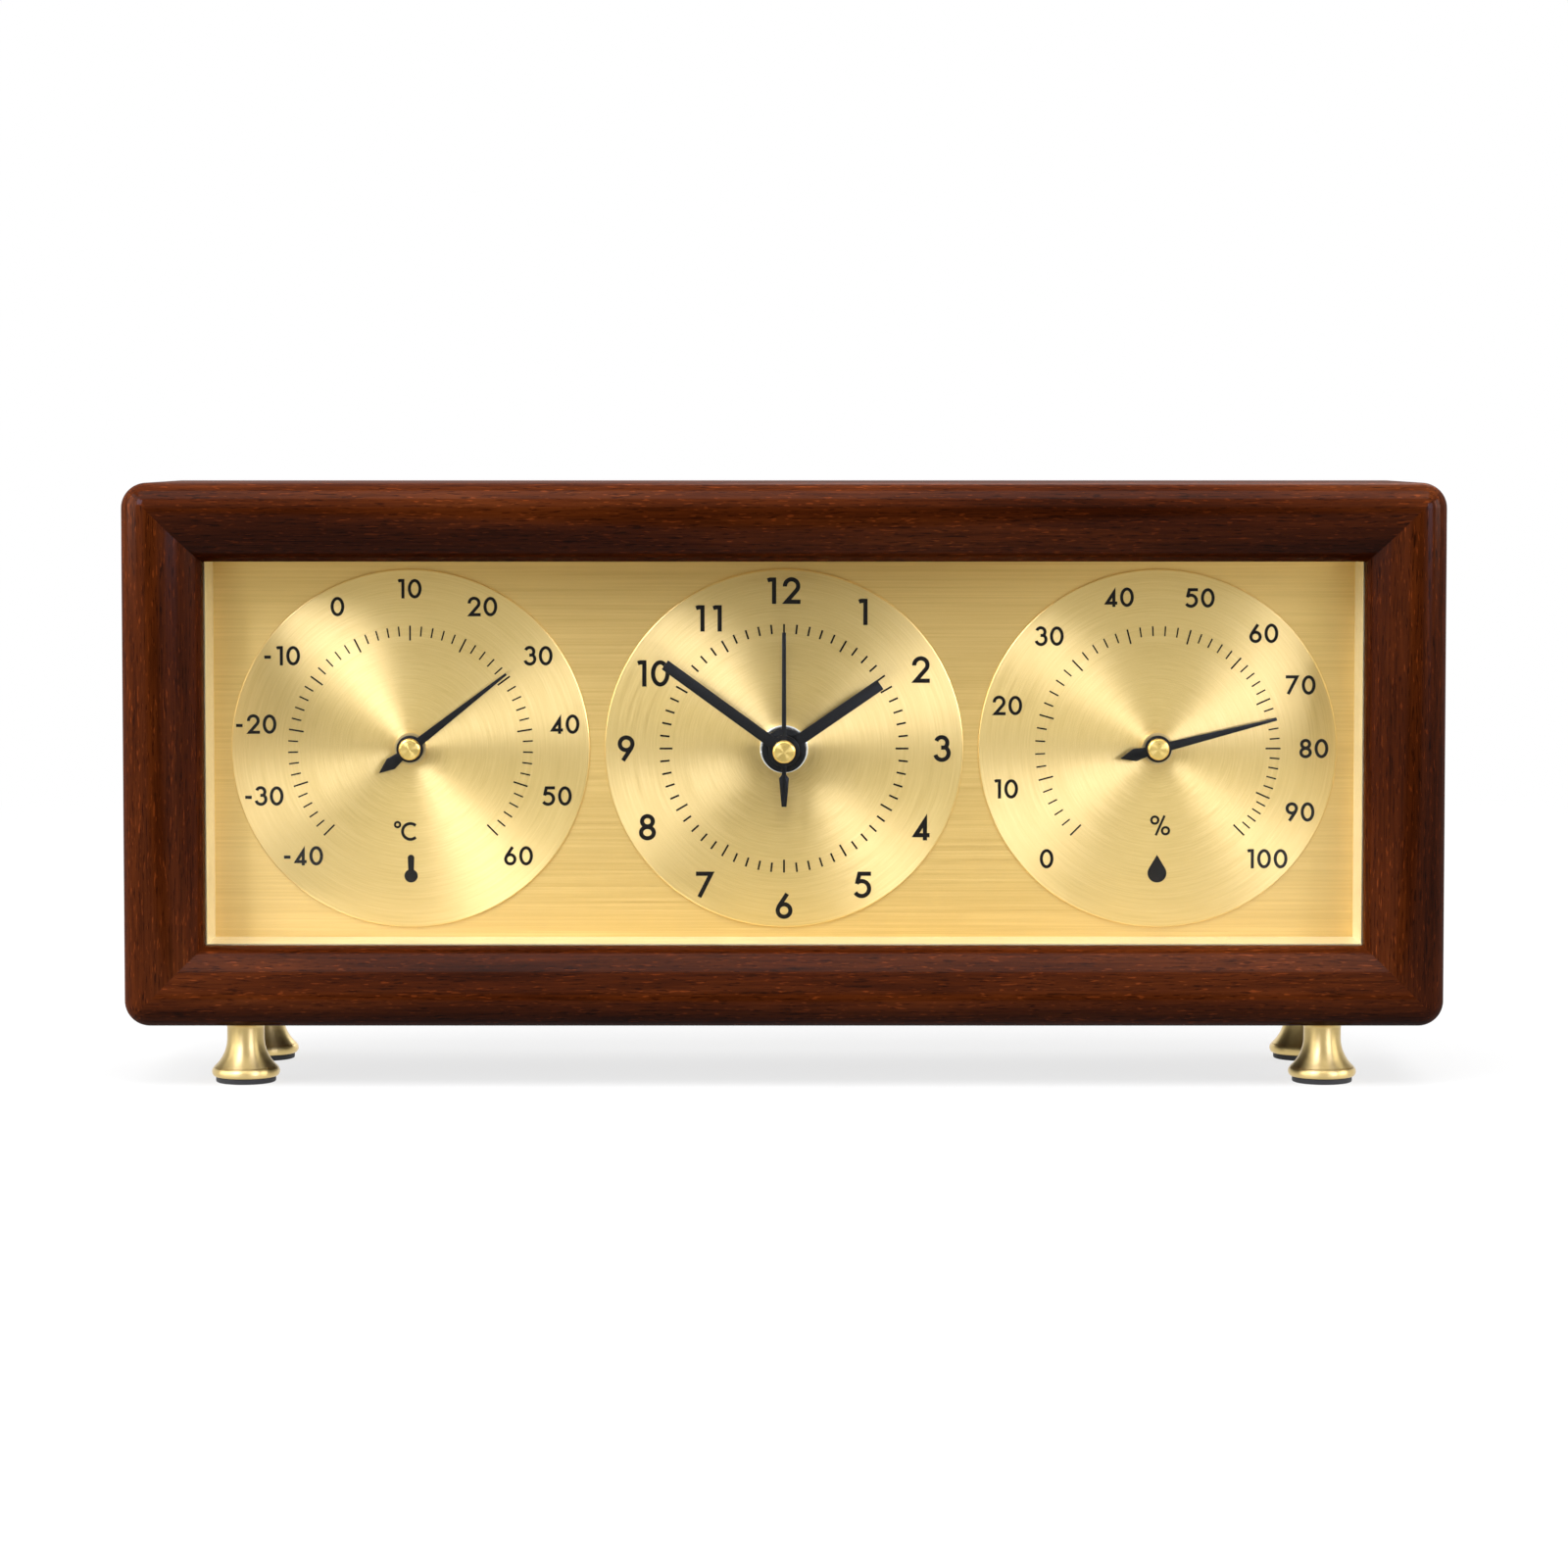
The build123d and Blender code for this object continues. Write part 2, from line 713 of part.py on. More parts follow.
with BuildPart() as instrument_nuts:
    for x in (thermometer_x, hygrometer_x):
        with BuildSketch(front_plane(nut_back, x)) as hexagon:
            RegularPolygon(instrument_nut_radius, 6)
            RegularPolygon(bushing_radius + slip, pipe_sides, major_radius=False, mode=Mode.SUBTRACT)
        extrude(hexagon.sketch, amount=instrument_nut_thickness)
finish(instrument_nuts, "instrument_nuts")

with BuildPart() as housing_screws:
    for x in (thermometer_x, hygrometer_x):
        for place in housing_screw_places:
            bar(backing_back - housing_screw_grip, screw_seat, housing_screw_radius, screw_sides,
                centre=place, x=x)
            bar(screw_seat, screw_seat + housing_screw_head_height, housing_screw_head_radius,
                centre=place, x=x)
finish(housing_screws, "housing_screws")


# Gear train of the clock movement. Each layer is one wheel thick.

# Tooth shapes, as shares of the module: height outside and depth inside the pitch circle, and
# the width at the root as a share of half the pitch. The flanks are straight and meet in a point.
pinion_tooth_shares = (0.75, 1.3, 0.44)
wheel_tooth_shares = (0.75, 1.2, 0.6)

cannon_teeth, motion_teeth = 10, 30
motion_pinion_teeth, hour_teeth = 8, 32
setting_teeth = 10
third_pinion_teeth, centre_teeth = 6, 45
second_pinion_teeth, third_teeth = 6, 48
intermediate_pinion_teeth, second_teeth = 6, 30
rotor_teeth, intermediate_teeth = 6, 36

motion_distance = 10.0
setting_distance = 10.0
third_distance = 12.5
intermediate_distance = 9.0
rotor_distance = 8.4
motion_bearing = 41.3
setting_bearing = 37.0
third_bearing = 132.0
intermediate_bearing = 87.0
rotor_bearing = 53.5

hand_place = (0.0, 0.0)
motion_place = polar(motion_distance, motion_bearing)
setting_place = polar(setting_distance, setting_bearing, motion_place)
third_place = polar(third_distance, third_bearing)
intermediate_place = polar(intermediate_distance, intermediate_bearing)
rotor_place = polar(rotor_distance, rotor_bearing, intermediate_place)


def layer_front(layer):
    """Depth of the front face of a layer of wheels."""
    return movement_front + movement_wall + first_layer + layer * layer_pitch


def mesh_module(distance, teeth_a, teeth_b):
    """Module of two wheels that mesh at a centre distance."""
    return 2 * distance / (teeth_a + teeth_b)


def mesh_phase(teeth_a, phase_a, bearing, teeth_b):
    """Angle of a tooth of wheel b, so that a gap of it faces a tooth of wheel a on their centre line."""
    share_a = (bearing - phase_a) * teeth_a / 360
    share_b = 0.5 - share_a
    return bearing + 180 - share_b * 360 / teeth_b


def toothed(place, teeth, module, phase, shares, y_front, y_back):
    """Toothed wheel or pinion with straight flanks, phase in degrees counter-clockwise from +X."""
    addendum, dedendum, root_share = shares
    pitch_radius = teeth * module / 2
    tip_radius = pitch_radius + addendum * module
    root_radius = pitch_radius - dedendum * module
    half_root = root_share * math.pi * module / 2
    points = []
    for tooth in range(teeth):
        turn = math.radians(phase + tooth * 360 / teeth)
        along = (math.cos(turn), math.sin(turn))
        for radius, half_width in ((root_radius, -half_root), (tip_radius, 0), (root_radius, half_root)):
            points.append((
                place[0] + radius * along[0] - half_width * along[1],
                place[1] + radius * along[1] + half_width * along[0],
            ))
    with BuildSketch(front_plane(y_back)) as profile:
        Polygon(*points, align=None)
    extrude(profile.sketch, amount=y_back - y_front)


hand_module = mesh_module(motion_distance, cannon_teeth, motion_teeth)
hour_module = mesh_module(motion_distance, motion_pinion_teeth, hour_teeth)
setting_module = mesh_module(setting_distance, setting_teeth, motion_teeth)
centre_module = mesh_module(third_distance, third_pinion_teeth, centre_teeth)
third_module = mesh_module(third_distance, second_pinion_teeth, third_teeth)
second_module = mesh_module(intermediate_distance, intermediate_pinion_teeth, second_teeth)
rotor_module = mesh_module(rotor_distance, rotor_teeth, intermediate_teeth)

motion_phase = mesh_phase(cannon_teeth, 0, motion_bearing, motion_teeth)
setting_phase = mesh_phase(motion_teeth, motion_phase, setting_bearing, setting_teeth)
hour_phase = mesh_phase(motion_pinion_teeth, 0, motion_bearing + 180, hour_teeth)
third_pinion_phase = mesh_phase(centre_teeth, 0, third_bearing, third_pinion_teeth)
third_phase = mesh_phase(second_pinion_teeth, 0, third_bearing, third_teeth)
intermediate_pinion_phase = mesh_phase(second_teeth, 0, intermediate_bearing, intermediate_pinion_teeth)
rotor_phase = mesh_phase(intermediate_teeth, 0, rotor_bearing, rotor_teeth)

hour_front, hour_back = layer_front(0), layer_front(0) + wheel_thickness
cannon_front, cannon_back = layer_front(1), layer_front(1) + wheel_thickness
centre_front, centre_back = layer_front(2), layer_front(2) + wheel_thickness
third_front, third_back = layer_front(3), layer_front(3) + wheel_thickness
second_front, second_back = layer_front(4), layer_front(4) + wheel_thickness
inter_front, inter_back = layer_front(5), layer_front(5) + wheel_thickness

hour_hand_back = dial_front - hour_hand_lift
minute_hand_back = dial_front - minute_hand_lift
second_hand_back = dial_front - second_hand_lift
front_plate_back = movement_front + movement_wall
rear_plate_front = movement_back - movement_wall

with BuildPart() as hour_wheel:
    toothed(hand_place, hour_teeth, hour_module, hour_phase, wheel_tooth_shares, hour_front, hour_back)
    bar(hour_hand_back - hand_sheet, hour_back, hour_pipe_radius, pipe_sides)
    bore(hour_hand_back - hand_sheet, hour_back, minute_pipe_radius + running, pipe_sides)
finish(hour_wheel, "hour_wheel")

with BuildPart() as centre_wheel:
    toothed(hand_place, centre_teeth, centre_module, 0, wheel_tooth_shares, centre_front, centre_back)
    toothed(hand_place, cannon_teeth, hand_module, 0, pinion_tooth_shares, cannon_front, centre_front)
    bar(minute_hand_back - hand_sheet, centre_back, minute_pipe_radius, pipe_sides)
    bore(minute_hand_back - hand_sheet, centre_back, second_arbor_radius + running)
finish(centre_wheel, "centre_wheel")

with BuildPart() as second_wheel:
    toothed(hand_place, second_teeth, second_module, 0, wheel_tooth_shares, second_front, second_back)
    toothed(hand_place, second_pinion_teeth, third_module, 0, pinion_tooth_shares, third_front, second_front)
    bar(second_hand_back - second_hand_sheet, rear_plate_front + pivot_depth, second_arbor_radius)
finish(second_wheel, "second_wheel")

with BuildPart() as third_wheel:
    toothed(third_place, third_teeth, third_module, third_phase, wheel_tooth_shares, third_front, third_back)
    toothed(third_place, third_pinion_teeth, centre_module, third_pinion_phase, pinion_tooth_shares,
            centre_front, third_front)
    bar(front_plate_back - pivot_depth, rear_plate_front + pivot_depth, pivot_radius, centre=third_place)
finish(third_wheel, "third_wheel")

with BuildPart() as motion_wheel:
    toothed(motion_place, motion_teeth, hand_module, motion_phase, wheel_tooth_shares,
            cannon_front, cannon_back)
    toothed(motion_place, motion_pinion_teeth, hour_module, 0, pinion_tooth_shares,
            hour_front, cannon_front)
    bore(hour_front, cannon_back, stud_radius + running, centre=motion_place)
finish(motion_wheel, "motion_wheel")

with BuildPart() as intermediate_wheel:
    toothed(intermediate_place, intermediate_teeth, rotor_module, 0, wheel_tooth_shares,
            inter_front, inter_back)
    toothed(intermediate_place, intermediate_pinion_teeth, second_module, intermediate_pinion_phase,
            pinion_tooth_shares, second_front, inter_front)
    bore(second_front, inter_back, intermediate_stud_radius + running, centre=intermediate_place)
finish(intermediate_wheel, "intermediate_wheel")

stator_front = second_front
stator_back = stator_front + stator_sheet
stator_middle = (stator_front + stator_back) / 2

with BuildPart() as rotor:
    toothed(rotor_place, rotor_teeth, rotor_module, rotor_phase, pinion_tooth_shares,
            inter_front, inter_back)
    bar(stator_middle - magnet_length / 2, stator_middle + magnet_length / 2, magnet_radius,
        pipe_sides, centre=rotor_place)
    bar(front_plate_back - pivot_depth, rear_plate_front + pivot_depth, rotor_arbor_radius,
        centre=rotor_place)
finish(rotor, "rotor")

with BuildPart() as setting_knob:
    knob_front = movement_back + setting_knob_gap
    knob_back = knob_front + setting_knob_height
    toothed(setting_place, setting_teeth, setting_module, setting_phase, pinion_tooth_shares,
            cannon_front, cannon_back)
    bar(front_plate_back - pivot_depth, knob_front, setting_arbor_radius, centre=setting_place)
    rib_module = 2 * setting_knob_radius / setting_rib_count
    rib_height_share = setting_rib_depth / rib_module
    toothed(setting_place, setting_rib_count, rib_module, 0, (0, rib_height_share, rib_width_share),
            knob_front, knob_back)
finish(setting_knob, "setting_knob")


# Stationary pieces of the movement

rotor_x, rotor_z = rotor_place
coil_left = rotor_x + stator_rim
coil_right = coil_left + coil_length
movement_inside = movement_side / 2 - movement_wall
coil_z = movement_inside - coil_radius - 2 * coil_core_clearance
stator_hole = magnet_radius + air_gap
stator_half = stator_hole + stator_rim
stator_left = rotor_x - stator_half
core_half = stator_sheet
arm_top = rotor_z + stator_arm / 2
arm_bottom = rotor_z - stator_arm / 2

with BuildPart() as stator:
    with BuildSketch(front_plane(stator_back)):
        with Locations((rotor_x, rotor_z)):
            Rectangle(2 * stator_half, 2 * stator_half)
        with Locations((stator_left, arm_bottom)):
            Rectangle(stator_post, coil_z + core_half - arm_bottom, align=(Align.MIN, Align.MIN))
        with Locations((rotor_x, arm_bottom)):
            Rectangle(coil_right + stator_post - rotor_x, stator_arm, align=(Align.MIN, Align.MIN))
        with Locations((coil_right, arm_bottom)):
            Rectangle(stator_post, coil_z + core_half - arm_bottom, align=(Align.MIN, Align.MIN))
        with Locations((stator_left, coil_z)):
            Rectangle(coil_right + stator_post - stator_left, 2 * core_half, align=(Align.MIN, Align.CENTER))
        with Locations((rotor_x, rotor_z)):
            RegularPolygon(stator_hole, pipe_sides, major_radius=False, mode=Mode.SUBTRACT)
    extrude(amount=stator_sheet)
finish(stator, "stator")

with BuildPart() as motor_coil:
    with BuildSketch(Plane(origin=(coil_left, stator_middle, axis_height + coil_z),
                           x_dir=(0, 1, 0), z_dir=(1, 0, 0))):
        RegularPolygon(coil_radius, pipe_sides)
        Rectangle(stator_sheet + 2 * coil_core_clearance, 2 * core_half + 2 * coil_core_clearance,
                  mode=Mode.SUBTRACT)
    extrude(amount=coil_length - seat_gap)
finish(motor_coil, "motor_coil")

board_x = movement_inside - seat_gap - board_width / 2
board_z = -movement_side / 2 + 2 * battery_radius + 2 * movement_wall + 4 * battery_clearance
board_z += bay_wall + board_height / 2 + seat_gap
battery_z = -movement_inside + battery_clearance + battery_radius
battery_y = front_plate_back + battery_clearance + battery_radius
bay_wall_z = battery_z + battery_radius + battery_clearance + bay_wall / 2

with BuildPart() as circuit_board:
    block(movement_split, movement_split + board_sheet, board_width, board_height, centre=(board_x, board_z))
    block(movement_split + board_sheet, movement_split + board_sheet + chip_height, chip_side, chip_side,
          centre=(board_x, board_z))
    with BuildSketch(Plane(origin=(board_x, movement_split + board_sheet + crystal_radius * crystal_lift_share,
                                   axis_height + board_z - board_height / 2 + crystal_radius))) as crystal:
        RegularPolygon(crystal_radius, bar_sides)
    extrude(crystal.sketch, amount=crystal_length)
finish(circuit_board, "circuit_board")

with BuildPart() as battery:
    half_body = battery_length / 2 - battery_nub_length / 2
    battery_axis = Plane(origin=(-battery_length / 2, battery_y, axis_height + battery_z),
                         x_dir=(0, 1, 0), z_dir=(1, 0, 0))
    with BuildSketch(battery_axis) as body:
        Circle(battery_radius)
    extrude(body.sketch, amount=battery_length - battery_nub_length)
    with BuildSketch(battery_axis) as nub:
        RegularPolygon(battery_nub_radius, pipe_sides)
    extrude(nub.sketch, amount=battery_length)
finish(battery, "battery")

with BuildPart() as battery_contacts:
    for side in (-1, 1):
        near = battery_length / 2 + contact_gap
        leaf_x = side * (near + contact_sheet / 2)
        block(battery_y - contact_width / 2, battery_y + contact_width / 2, contact_sheet, contact_height,
              centre=(leaf_x, battery_z))
        foot_x = side * (near + movement_inside) / 2
        block(front_plate_back, front_plate_back + contact_sheet, movement_inside - near - seat_gap,
              contact_height, centre=(foot_x, battery_z))
        block(front_plate_back, battery_y, contact_sheet, contact_height, centre=(leaf_x, battery_z))
finish(battery_contacts, "battery_contacts")


def draw_shell(y_front, y_back, hollow_front, hollow_back):
    """Half of the movement's case: a square tray with cut corners."""
    with BuildSketch(front_plane(y_back)) as outside:
        Rectangle(movement_side, movement_side)
        chamfer(outside.vertices(), movement_corner)
    extrude(outside.sketch, amount=y_back - y_front)
    with BuildSketch(front_plane(hollow_back)) as inside:
        Rectangle(2 * movement_inside, 2 * movement_inside)
        chamfer(inside.vertices(), movement_corner - movement_wall)
    extrude(inside.sketch, amount=hollow_back - hollow_front, mode=Mode.SUBTRACT)


with BuildPart() as movement_front_case:
    draw_shell(movement_front, movement_split, front_plate_back, movement_split)
    bar(dial_front - neck_proud, movement_front, neck_radius, pipe_sides)
    bore(dial_front - neck_proud, front_plate_back, hour_pipe_radius + running, pipe_sides)
    block(front_plate_back, movement_split, 2 * movement_inside, bay_wall, centre=(0, bay_wall_z))
    bar(front_plate_back, cannon_back + end_play, stud_radius, centre=motion_place)
    bar(front_plate_back, hour_front - end_play, boss_radius, centre=motion_place)
    for place, radius in (
        (third_place, pivot_radius), (rotor_place, rotor_arbor_radius), (setting_place, setting_arbor_radius),
    ):
        bar(front_plate_back, front_plate_back + first_layer, radius + movement_wall, centre=place)
        bore(front_plate_back - pivot_depth - seat_gap, front_plate_back + first_layer, radius + running,
             centre=place)
    for step in (-1, 1):
        bar(front_plate_back, movement_split, board_post_radius,
            centre=(board_x, board_z + step * (board_height / 2 - 2 * board_post_radius)))
finish(movement_front_case, "movement_front_case")

with BuildPart() as movement_rear_case:
    draw_shell(movement_split, movement_back, movement_split, rear_plate_front)
    block(movement_split, rear_plate_front, 2 * movement_inside, bay_wall, centre=(0, bay_wall_z))
    block(rear_plate_front, movement_back, 2 * movement_inside - movement_wall,
          2 * battery_radius + battery_clearance, centre=(0, battery_z), mode=Mode.SUBTRACT)
    bar(inter_back + end_play, rear_plate_front, boss_radius, centre=intermediate_place)
    bar(second_front, rear_plate_front, intermediate_stud_radius, centre=intermediate_place)
    for place, radius in (
        (hand_place, second_arbor_radius), (third_place, pivot_radius), (rotor_place, rotor_arbor_radius),
    ):
        bar(rear_plate_front - first_layer, rear_plate_front, radius + movement_wall, centre=place)
        bore(rear_plate_front - first_layer, rear_plate_front + pivot_depth + seat_gap, radius + running,
             centre=place)
    bore(rear_plate_front, movement_back, setting_arbor_radius + running, centre=setting_place)
    for place in (
        (stator_left + stator_post / 2, coil_z), (coil_right + stator_post / 2, rotor_z),
    ):
        bar(stator_back, rear_plate_front, stator_post / 2, centre=place)
finish(movement_rear_case, "movement_rear_case")

with BuildPart() as neck_washer:
    bar(backing_back, movement_front, washer_radius, pipe_sides)
    bore(backing_back, movement_front, neck_radius + hole_clearance, pipe_sides)
finish(neck_washer, "neck_washer")

with BuildPart() as fixing_nut:
    bar(dial_front - nut_thickness, dial_front, nut_radius, hub_sides)
    bore(dial_front - nut_thickness, dial_front, neck_radius + slip, pipe_sides)
    block(dial_front - nut_thickness, dial_front - nut_thickness / 2, 2 * nut_radius, nut_slot,
          mode=Mode.SUBTRACT)
finish(fixing_nut, "fixing_nut")


# Clock hands

def draw_hand(length, width, hub_radius, degrees):
    """Straight blunt hand with a round hub, at an angle clockwise from the top."""
    turn = Location((0, 0, 0), (0, 0, -degrees))
    with Locations(turn * Location((0, length / 2, 0))):
        Rectangle(width, length)
    RegularPolygon(hub_radius, hub_sides)


with BuildPart() as hour_hand:
    with BuildSketch(front_plane(hour_hand_back)):
        draw_hand(hour_hand_length, hour_hand_width, hour_hand_hub_radius, hour_angle)
    extrude(amount=hand_sheet)
    bar(hour_hand_back, hour_hand_back + collet_length, hour_collet_radius, pipe_sides)
    bore(hour_hand_back - hand_sheet, hour_hand_back + collet_length, hour_pipe_radius + slip, pipe_sides)
finish(hour_hand, "hour_hand")

with BuildPart() as minute_hand:
    with BuildSketch(front_plane(minute_hand_back)):
        draw_hand(minute_hand_length, minute_hand_width, minute_hand_hub_radius, minute_angle)
    extrude(amount=hand_sheet)
    bar(minute_hand_back, minute_hand_back + collet_length, minute_collet_radius, pipe_sides)
    bore(minute_hand_back - hand_sheet, minute_hand_back + collet_length, minute_pipe_radius + slip,
         pipe_sides)
finish(minute_hand, "minute_hand")

with BuildPart() as second_hand:
    with BuildSketch(front_plane(second_hand_back)):
        Polygon(
            (second_hand_width / 2, second_hand_length),
            (second_hand_width / 2, 0),
            (second_tail_width / 2, -second_tail_length / 2),
            (second_tail_tip / 2, -second_tail_length),
            (-second_tail_tip / 2, -second_tail_length),
            (-second_tail_width / 2, -second_tail_length / 2),
            (-second_hand_width / 2, 0),
            (-second_hand_width / 2, second_hand_length),
            rotation=-second_angle,
            align=None,
        )
        RegularPolygon(second_hub_radius, hub_sides)
        RegularPolygon(second_arbor_radius + slip, bar_sides, major_radius=False, mode=Mode.SUBTRACT)
    extrude(amount=second_hand_sheet)
finish(second_hand, "second_hand")

with BuildPart() as clock_cap:
    clock_cap_back = second_hand_back - second_hand_sheet
    bar(clock_cap_back - clock_cap_height, clock_cap_back, clock_cap_radius, hub_sides)
    chamfer(clock_cap.faces().sort_by(Axis.Y)[0].edges(), clock_cap_height * cap_bevel_share)
finish(clock_cap, "clock_cap")
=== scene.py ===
from math import asin, atan2, cos, degrees as in_degrees, pi, radians, sin, sqrt

import bpy
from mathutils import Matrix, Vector


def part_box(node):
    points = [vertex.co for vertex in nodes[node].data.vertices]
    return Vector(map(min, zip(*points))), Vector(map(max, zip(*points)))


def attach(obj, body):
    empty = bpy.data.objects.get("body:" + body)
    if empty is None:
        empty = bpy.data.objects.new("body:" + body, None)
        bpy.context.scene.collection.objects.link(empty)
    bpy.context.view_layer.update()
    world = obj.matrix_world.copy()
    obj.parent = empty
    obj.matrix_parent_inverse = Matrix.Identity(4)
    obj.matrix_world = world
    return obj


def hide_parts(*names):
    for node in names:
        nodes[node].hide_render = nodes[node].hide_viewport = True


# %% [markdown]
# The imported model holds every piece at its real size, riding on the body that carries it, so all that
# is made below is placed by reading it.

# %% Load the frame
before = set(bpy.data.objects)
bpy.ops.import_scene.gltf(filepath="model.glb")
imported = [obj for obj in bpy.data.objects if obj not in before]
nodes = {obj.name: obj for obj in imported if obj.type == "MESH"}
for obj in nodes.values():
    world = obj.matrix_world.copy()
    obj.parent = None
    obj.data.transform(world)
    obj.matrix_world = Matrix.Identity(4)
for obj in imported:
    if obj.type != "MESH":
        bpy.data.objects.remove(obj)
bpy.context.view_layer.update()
MM = 0.001
print("pieces loaded:", len(nodes))

# %% [markdown]
# A few places are needed all the time: the height and depth of the dial faces, and the middle of each
# dial. They are read from the boxes of the pieces.

# %% Places on the clock
dial_low, dial_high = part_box("clock_dial")
axis_z = (dial_low.z + dial_high.z) / 2
dial_y = dial_low.y
dial_radius = (dial_high.x - dial_low.x) / 2
dial_middles = {}
for name in ("thermometer", "clock", "hygrometer"):
    dial_middles[name] = sum(corner.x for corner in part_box(name + "_dial")) / 2
print("dial radius in mm:", round(dial_radius / MM, 2))

# %% [markdown]
# The photograph looks at the middle of the clock from a little above it and about a metre away. A long
# lens keeps the case nearly square to the picture, and a small shift places it a little lower.

# %% Camera
camera_tilt = radians(3.21)
scene = bpy.context.scene
camera = bpy.data.objects.new("camera", bpy.data.cameras.new("camera"))
scene.collection.objects.link(camera)
camera.location = (0, -950 * MM, 127.1 * MM)
camera.rotation_euler = (pi / 2 - camera_tilt, 0, 0)
camera.data.sensor_width = 36
camera.data.lens = 108.2
camera.data.shift_y = -0.05
scene.camera = camera
scene.view_settings.view_transform = "Standard"
print("camera looks down by degrees:", round(in_degrees(camera_tilt), 1))

# %% [markdown]
# Operators act on all that is selected, so these helpers keep the selection under control. One takes a
# single object, one opens its mesh with all of it selected, and one picks faces by their middle.

# %% Selecting
def take(obj):
    """Make one object the only selected and active one."""
    bpy.ops.object.select_all(action="DESELECT")
    obj.select_set(True)
    bpy.context.view_layer.objects.active = obj


def open_mesh(obj, mode="FACE"):
    """Take an object into edit mode, with all of its faces or vertices selected."""
    take(obj)
    bpy.ops.object.mode_set(mode="EDIT")
    bpy.ops.mesh.select_mode(type=mode)
    bpy.ops.mesh.select_all(action="SELECT")


def close_mesh():
    """Go back to object mode."""
    bpy.ops.object.mode_set(mode="OBJECT")


def pick_faces(obj, test):
    """In object mode, select only the faces whose middle passes a test."""
    mesh = obj.data
    for part in (mesh.vertices, mesh.edges, mesh.polygons):
        part.foreach_set("select", [False] * len(part))
    for face in mesh.polygons:
        face.select = test(face.center)


# %% [markdown]
# Every piece ends in the same way. Its doubles are merged and its faces point outwards, its place goes
# into its mesh, and it gets its paint and the body that carries it, while the nodes it stands for are
# hidden.

# %% Finishing
def smooth(obj, degrees=30):
    """Merge doubles, point the faces outwards and shade smooth up to an angle."""
    open_mesh(obj, "VERT")
    bpy.ops.mesh.remove_doubles(threshold=1e-6)
    bpy.ops.mesh.normals_make_consistent(inside=False)
    close_mesh()
    bpy.ops.object.shade_smooth_by_angle(angle=radians(degrees))


def place_in_mesh(obj):
    """Put an object's place, turn and scale into its mesh."""
    take(obj)
    bpy.ops.object.transform_apply()


def copy_to(obj, place=(0, 0, 0), turn=(0, 0, 0), scale=(1, 1, 1)):
    """Copy of an object with its own mesh, scaled, turned and put in a place."""
    duplicate = obj.copy()
    duplicate.data = obj.data.copy()
    scene.collection.objects.link(duplicate)
    duplicate.location, duplicate.rotation_euler, duplicate.scale = place, turn, scale
    place_in_mesh(duplicate)
    return duplicate


def join(pieces, name):
    """Join several objects into one."""
    take(pieces[0])
    for piece in pieces:
        piece.select_set(True)
    if len(pieces) > 1:
        bpy.ops.object.join()
    pieces[0].name = pieces[0].data.name = name
    return pieces[0]


def settle(obj, name, material, body, slot, *stands_for):
    """Name a finished piece, paint it, let it ride on a body and hide the nodes that it stands for."""
    place_in_mesh(obj)
    obj.name = obj.data.name = name
    obj.data.materials.clear()
    obj.data.materials.append(material)
    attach(obj, body)
    if stands_for:
        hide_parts(*stands_for)
    print(name, "faces:", len(obj.data.polygons))


# %% [markdown]
# Most pieces start as a flat face, round or drawn through the points of an outline, and are pulled out.

# %% Drawing
def round_face(radius, sides, centre=(0, 0, 0)):
    """New flat round face."""
    bpy.ops.mesh.primitive_circle_add(vertices=sides, radius=radius, fill_type="NGON", location=centre)
    return bpy.context.object


def flat_shape(points):
    """New flat face through a list of points, on the floor where they have no height."""
    obj = round_face(1, len(points))
    for vertex, point in zip(obj.data.vertices, points):
        vertex.co = (*point, 0)[:3]
    return obj


def pull(offset):
    """In edit mode, extrude what is selected by an offset."""
    bpy.ops.mesh.extrude_region_move(TRANSFORM_OT_translate={"value": offset})


def modify(obj, kind, **settings):
    """Add a modifier with some settings and apply it."""
    take(obj)
    bpy.ops.object.modifier_add(type=kind)
    modifier = obj.modifiers[-1]
    for key, value in settings.items():
        setattr(modifier, key, value)
    bpy.ops.object.modifier_apply(modifier=modifier.name)


# %% [markdown]
# Materials are built from nodes. These helpers add a node and link it, so that each finish below reads
# as a short recipe. Every pattern reads Object coordinates in metres, so a scale of 1000 repeats about
# every millimetre.

# %% Nodes
def new_material(name, colour, metallic=0.0, roughness=0.5):
    """A material with a Principled shader, and the two nodes that recipes need."""
    material = bpy.data.materials.new(name)
    material.use_nodes = True
    shader = material.node_tree.nodes["Principled BSDF"]
    shader.inputs["Base Color"].default_value = (*colour, 1)
    shader.inputs["Metallic"].default_value = metallic
    shader.inputs["Roughness"].default_value = roughness
    material.diffuse_color = (*colour, 1)
    print("finish:", name)
    return material, shader


def link(node, name, source):
    """Link a socket into an input of a node."""
    node.id_data.links.new(source, node.inputs[name])


def add(owner, kind, links=(), **values):
    """Add a node to a material or world and link its inputs: links is a list of (input, source)."""
    node = owner.node_tree.nodes.new("ShaderNode" + kind)
    for key, value in values.items():
        setattr(node, key, value)
    for name, source in links:
        if isinstance(source, bpy.types.NodeSocket):
            link(node, name, source)
        else:
            node.inputs[name].default_value = source
    return node


def calculate(owner, kind, operation, *values, output="Value", **settings):
    """One output of a Math or Vector Math node that works on some values or sockets."""
    return add(owner, kind, enumerate(values), operation=operation, **settings).outputs[output]


def mixed(owner, share, first, second):
    """Mix of two shaders: share is how much of the second one shows."""
    return add(owner, "MixShader", [(0, share), (1, first), (2, second)]).outputs["Shader"]


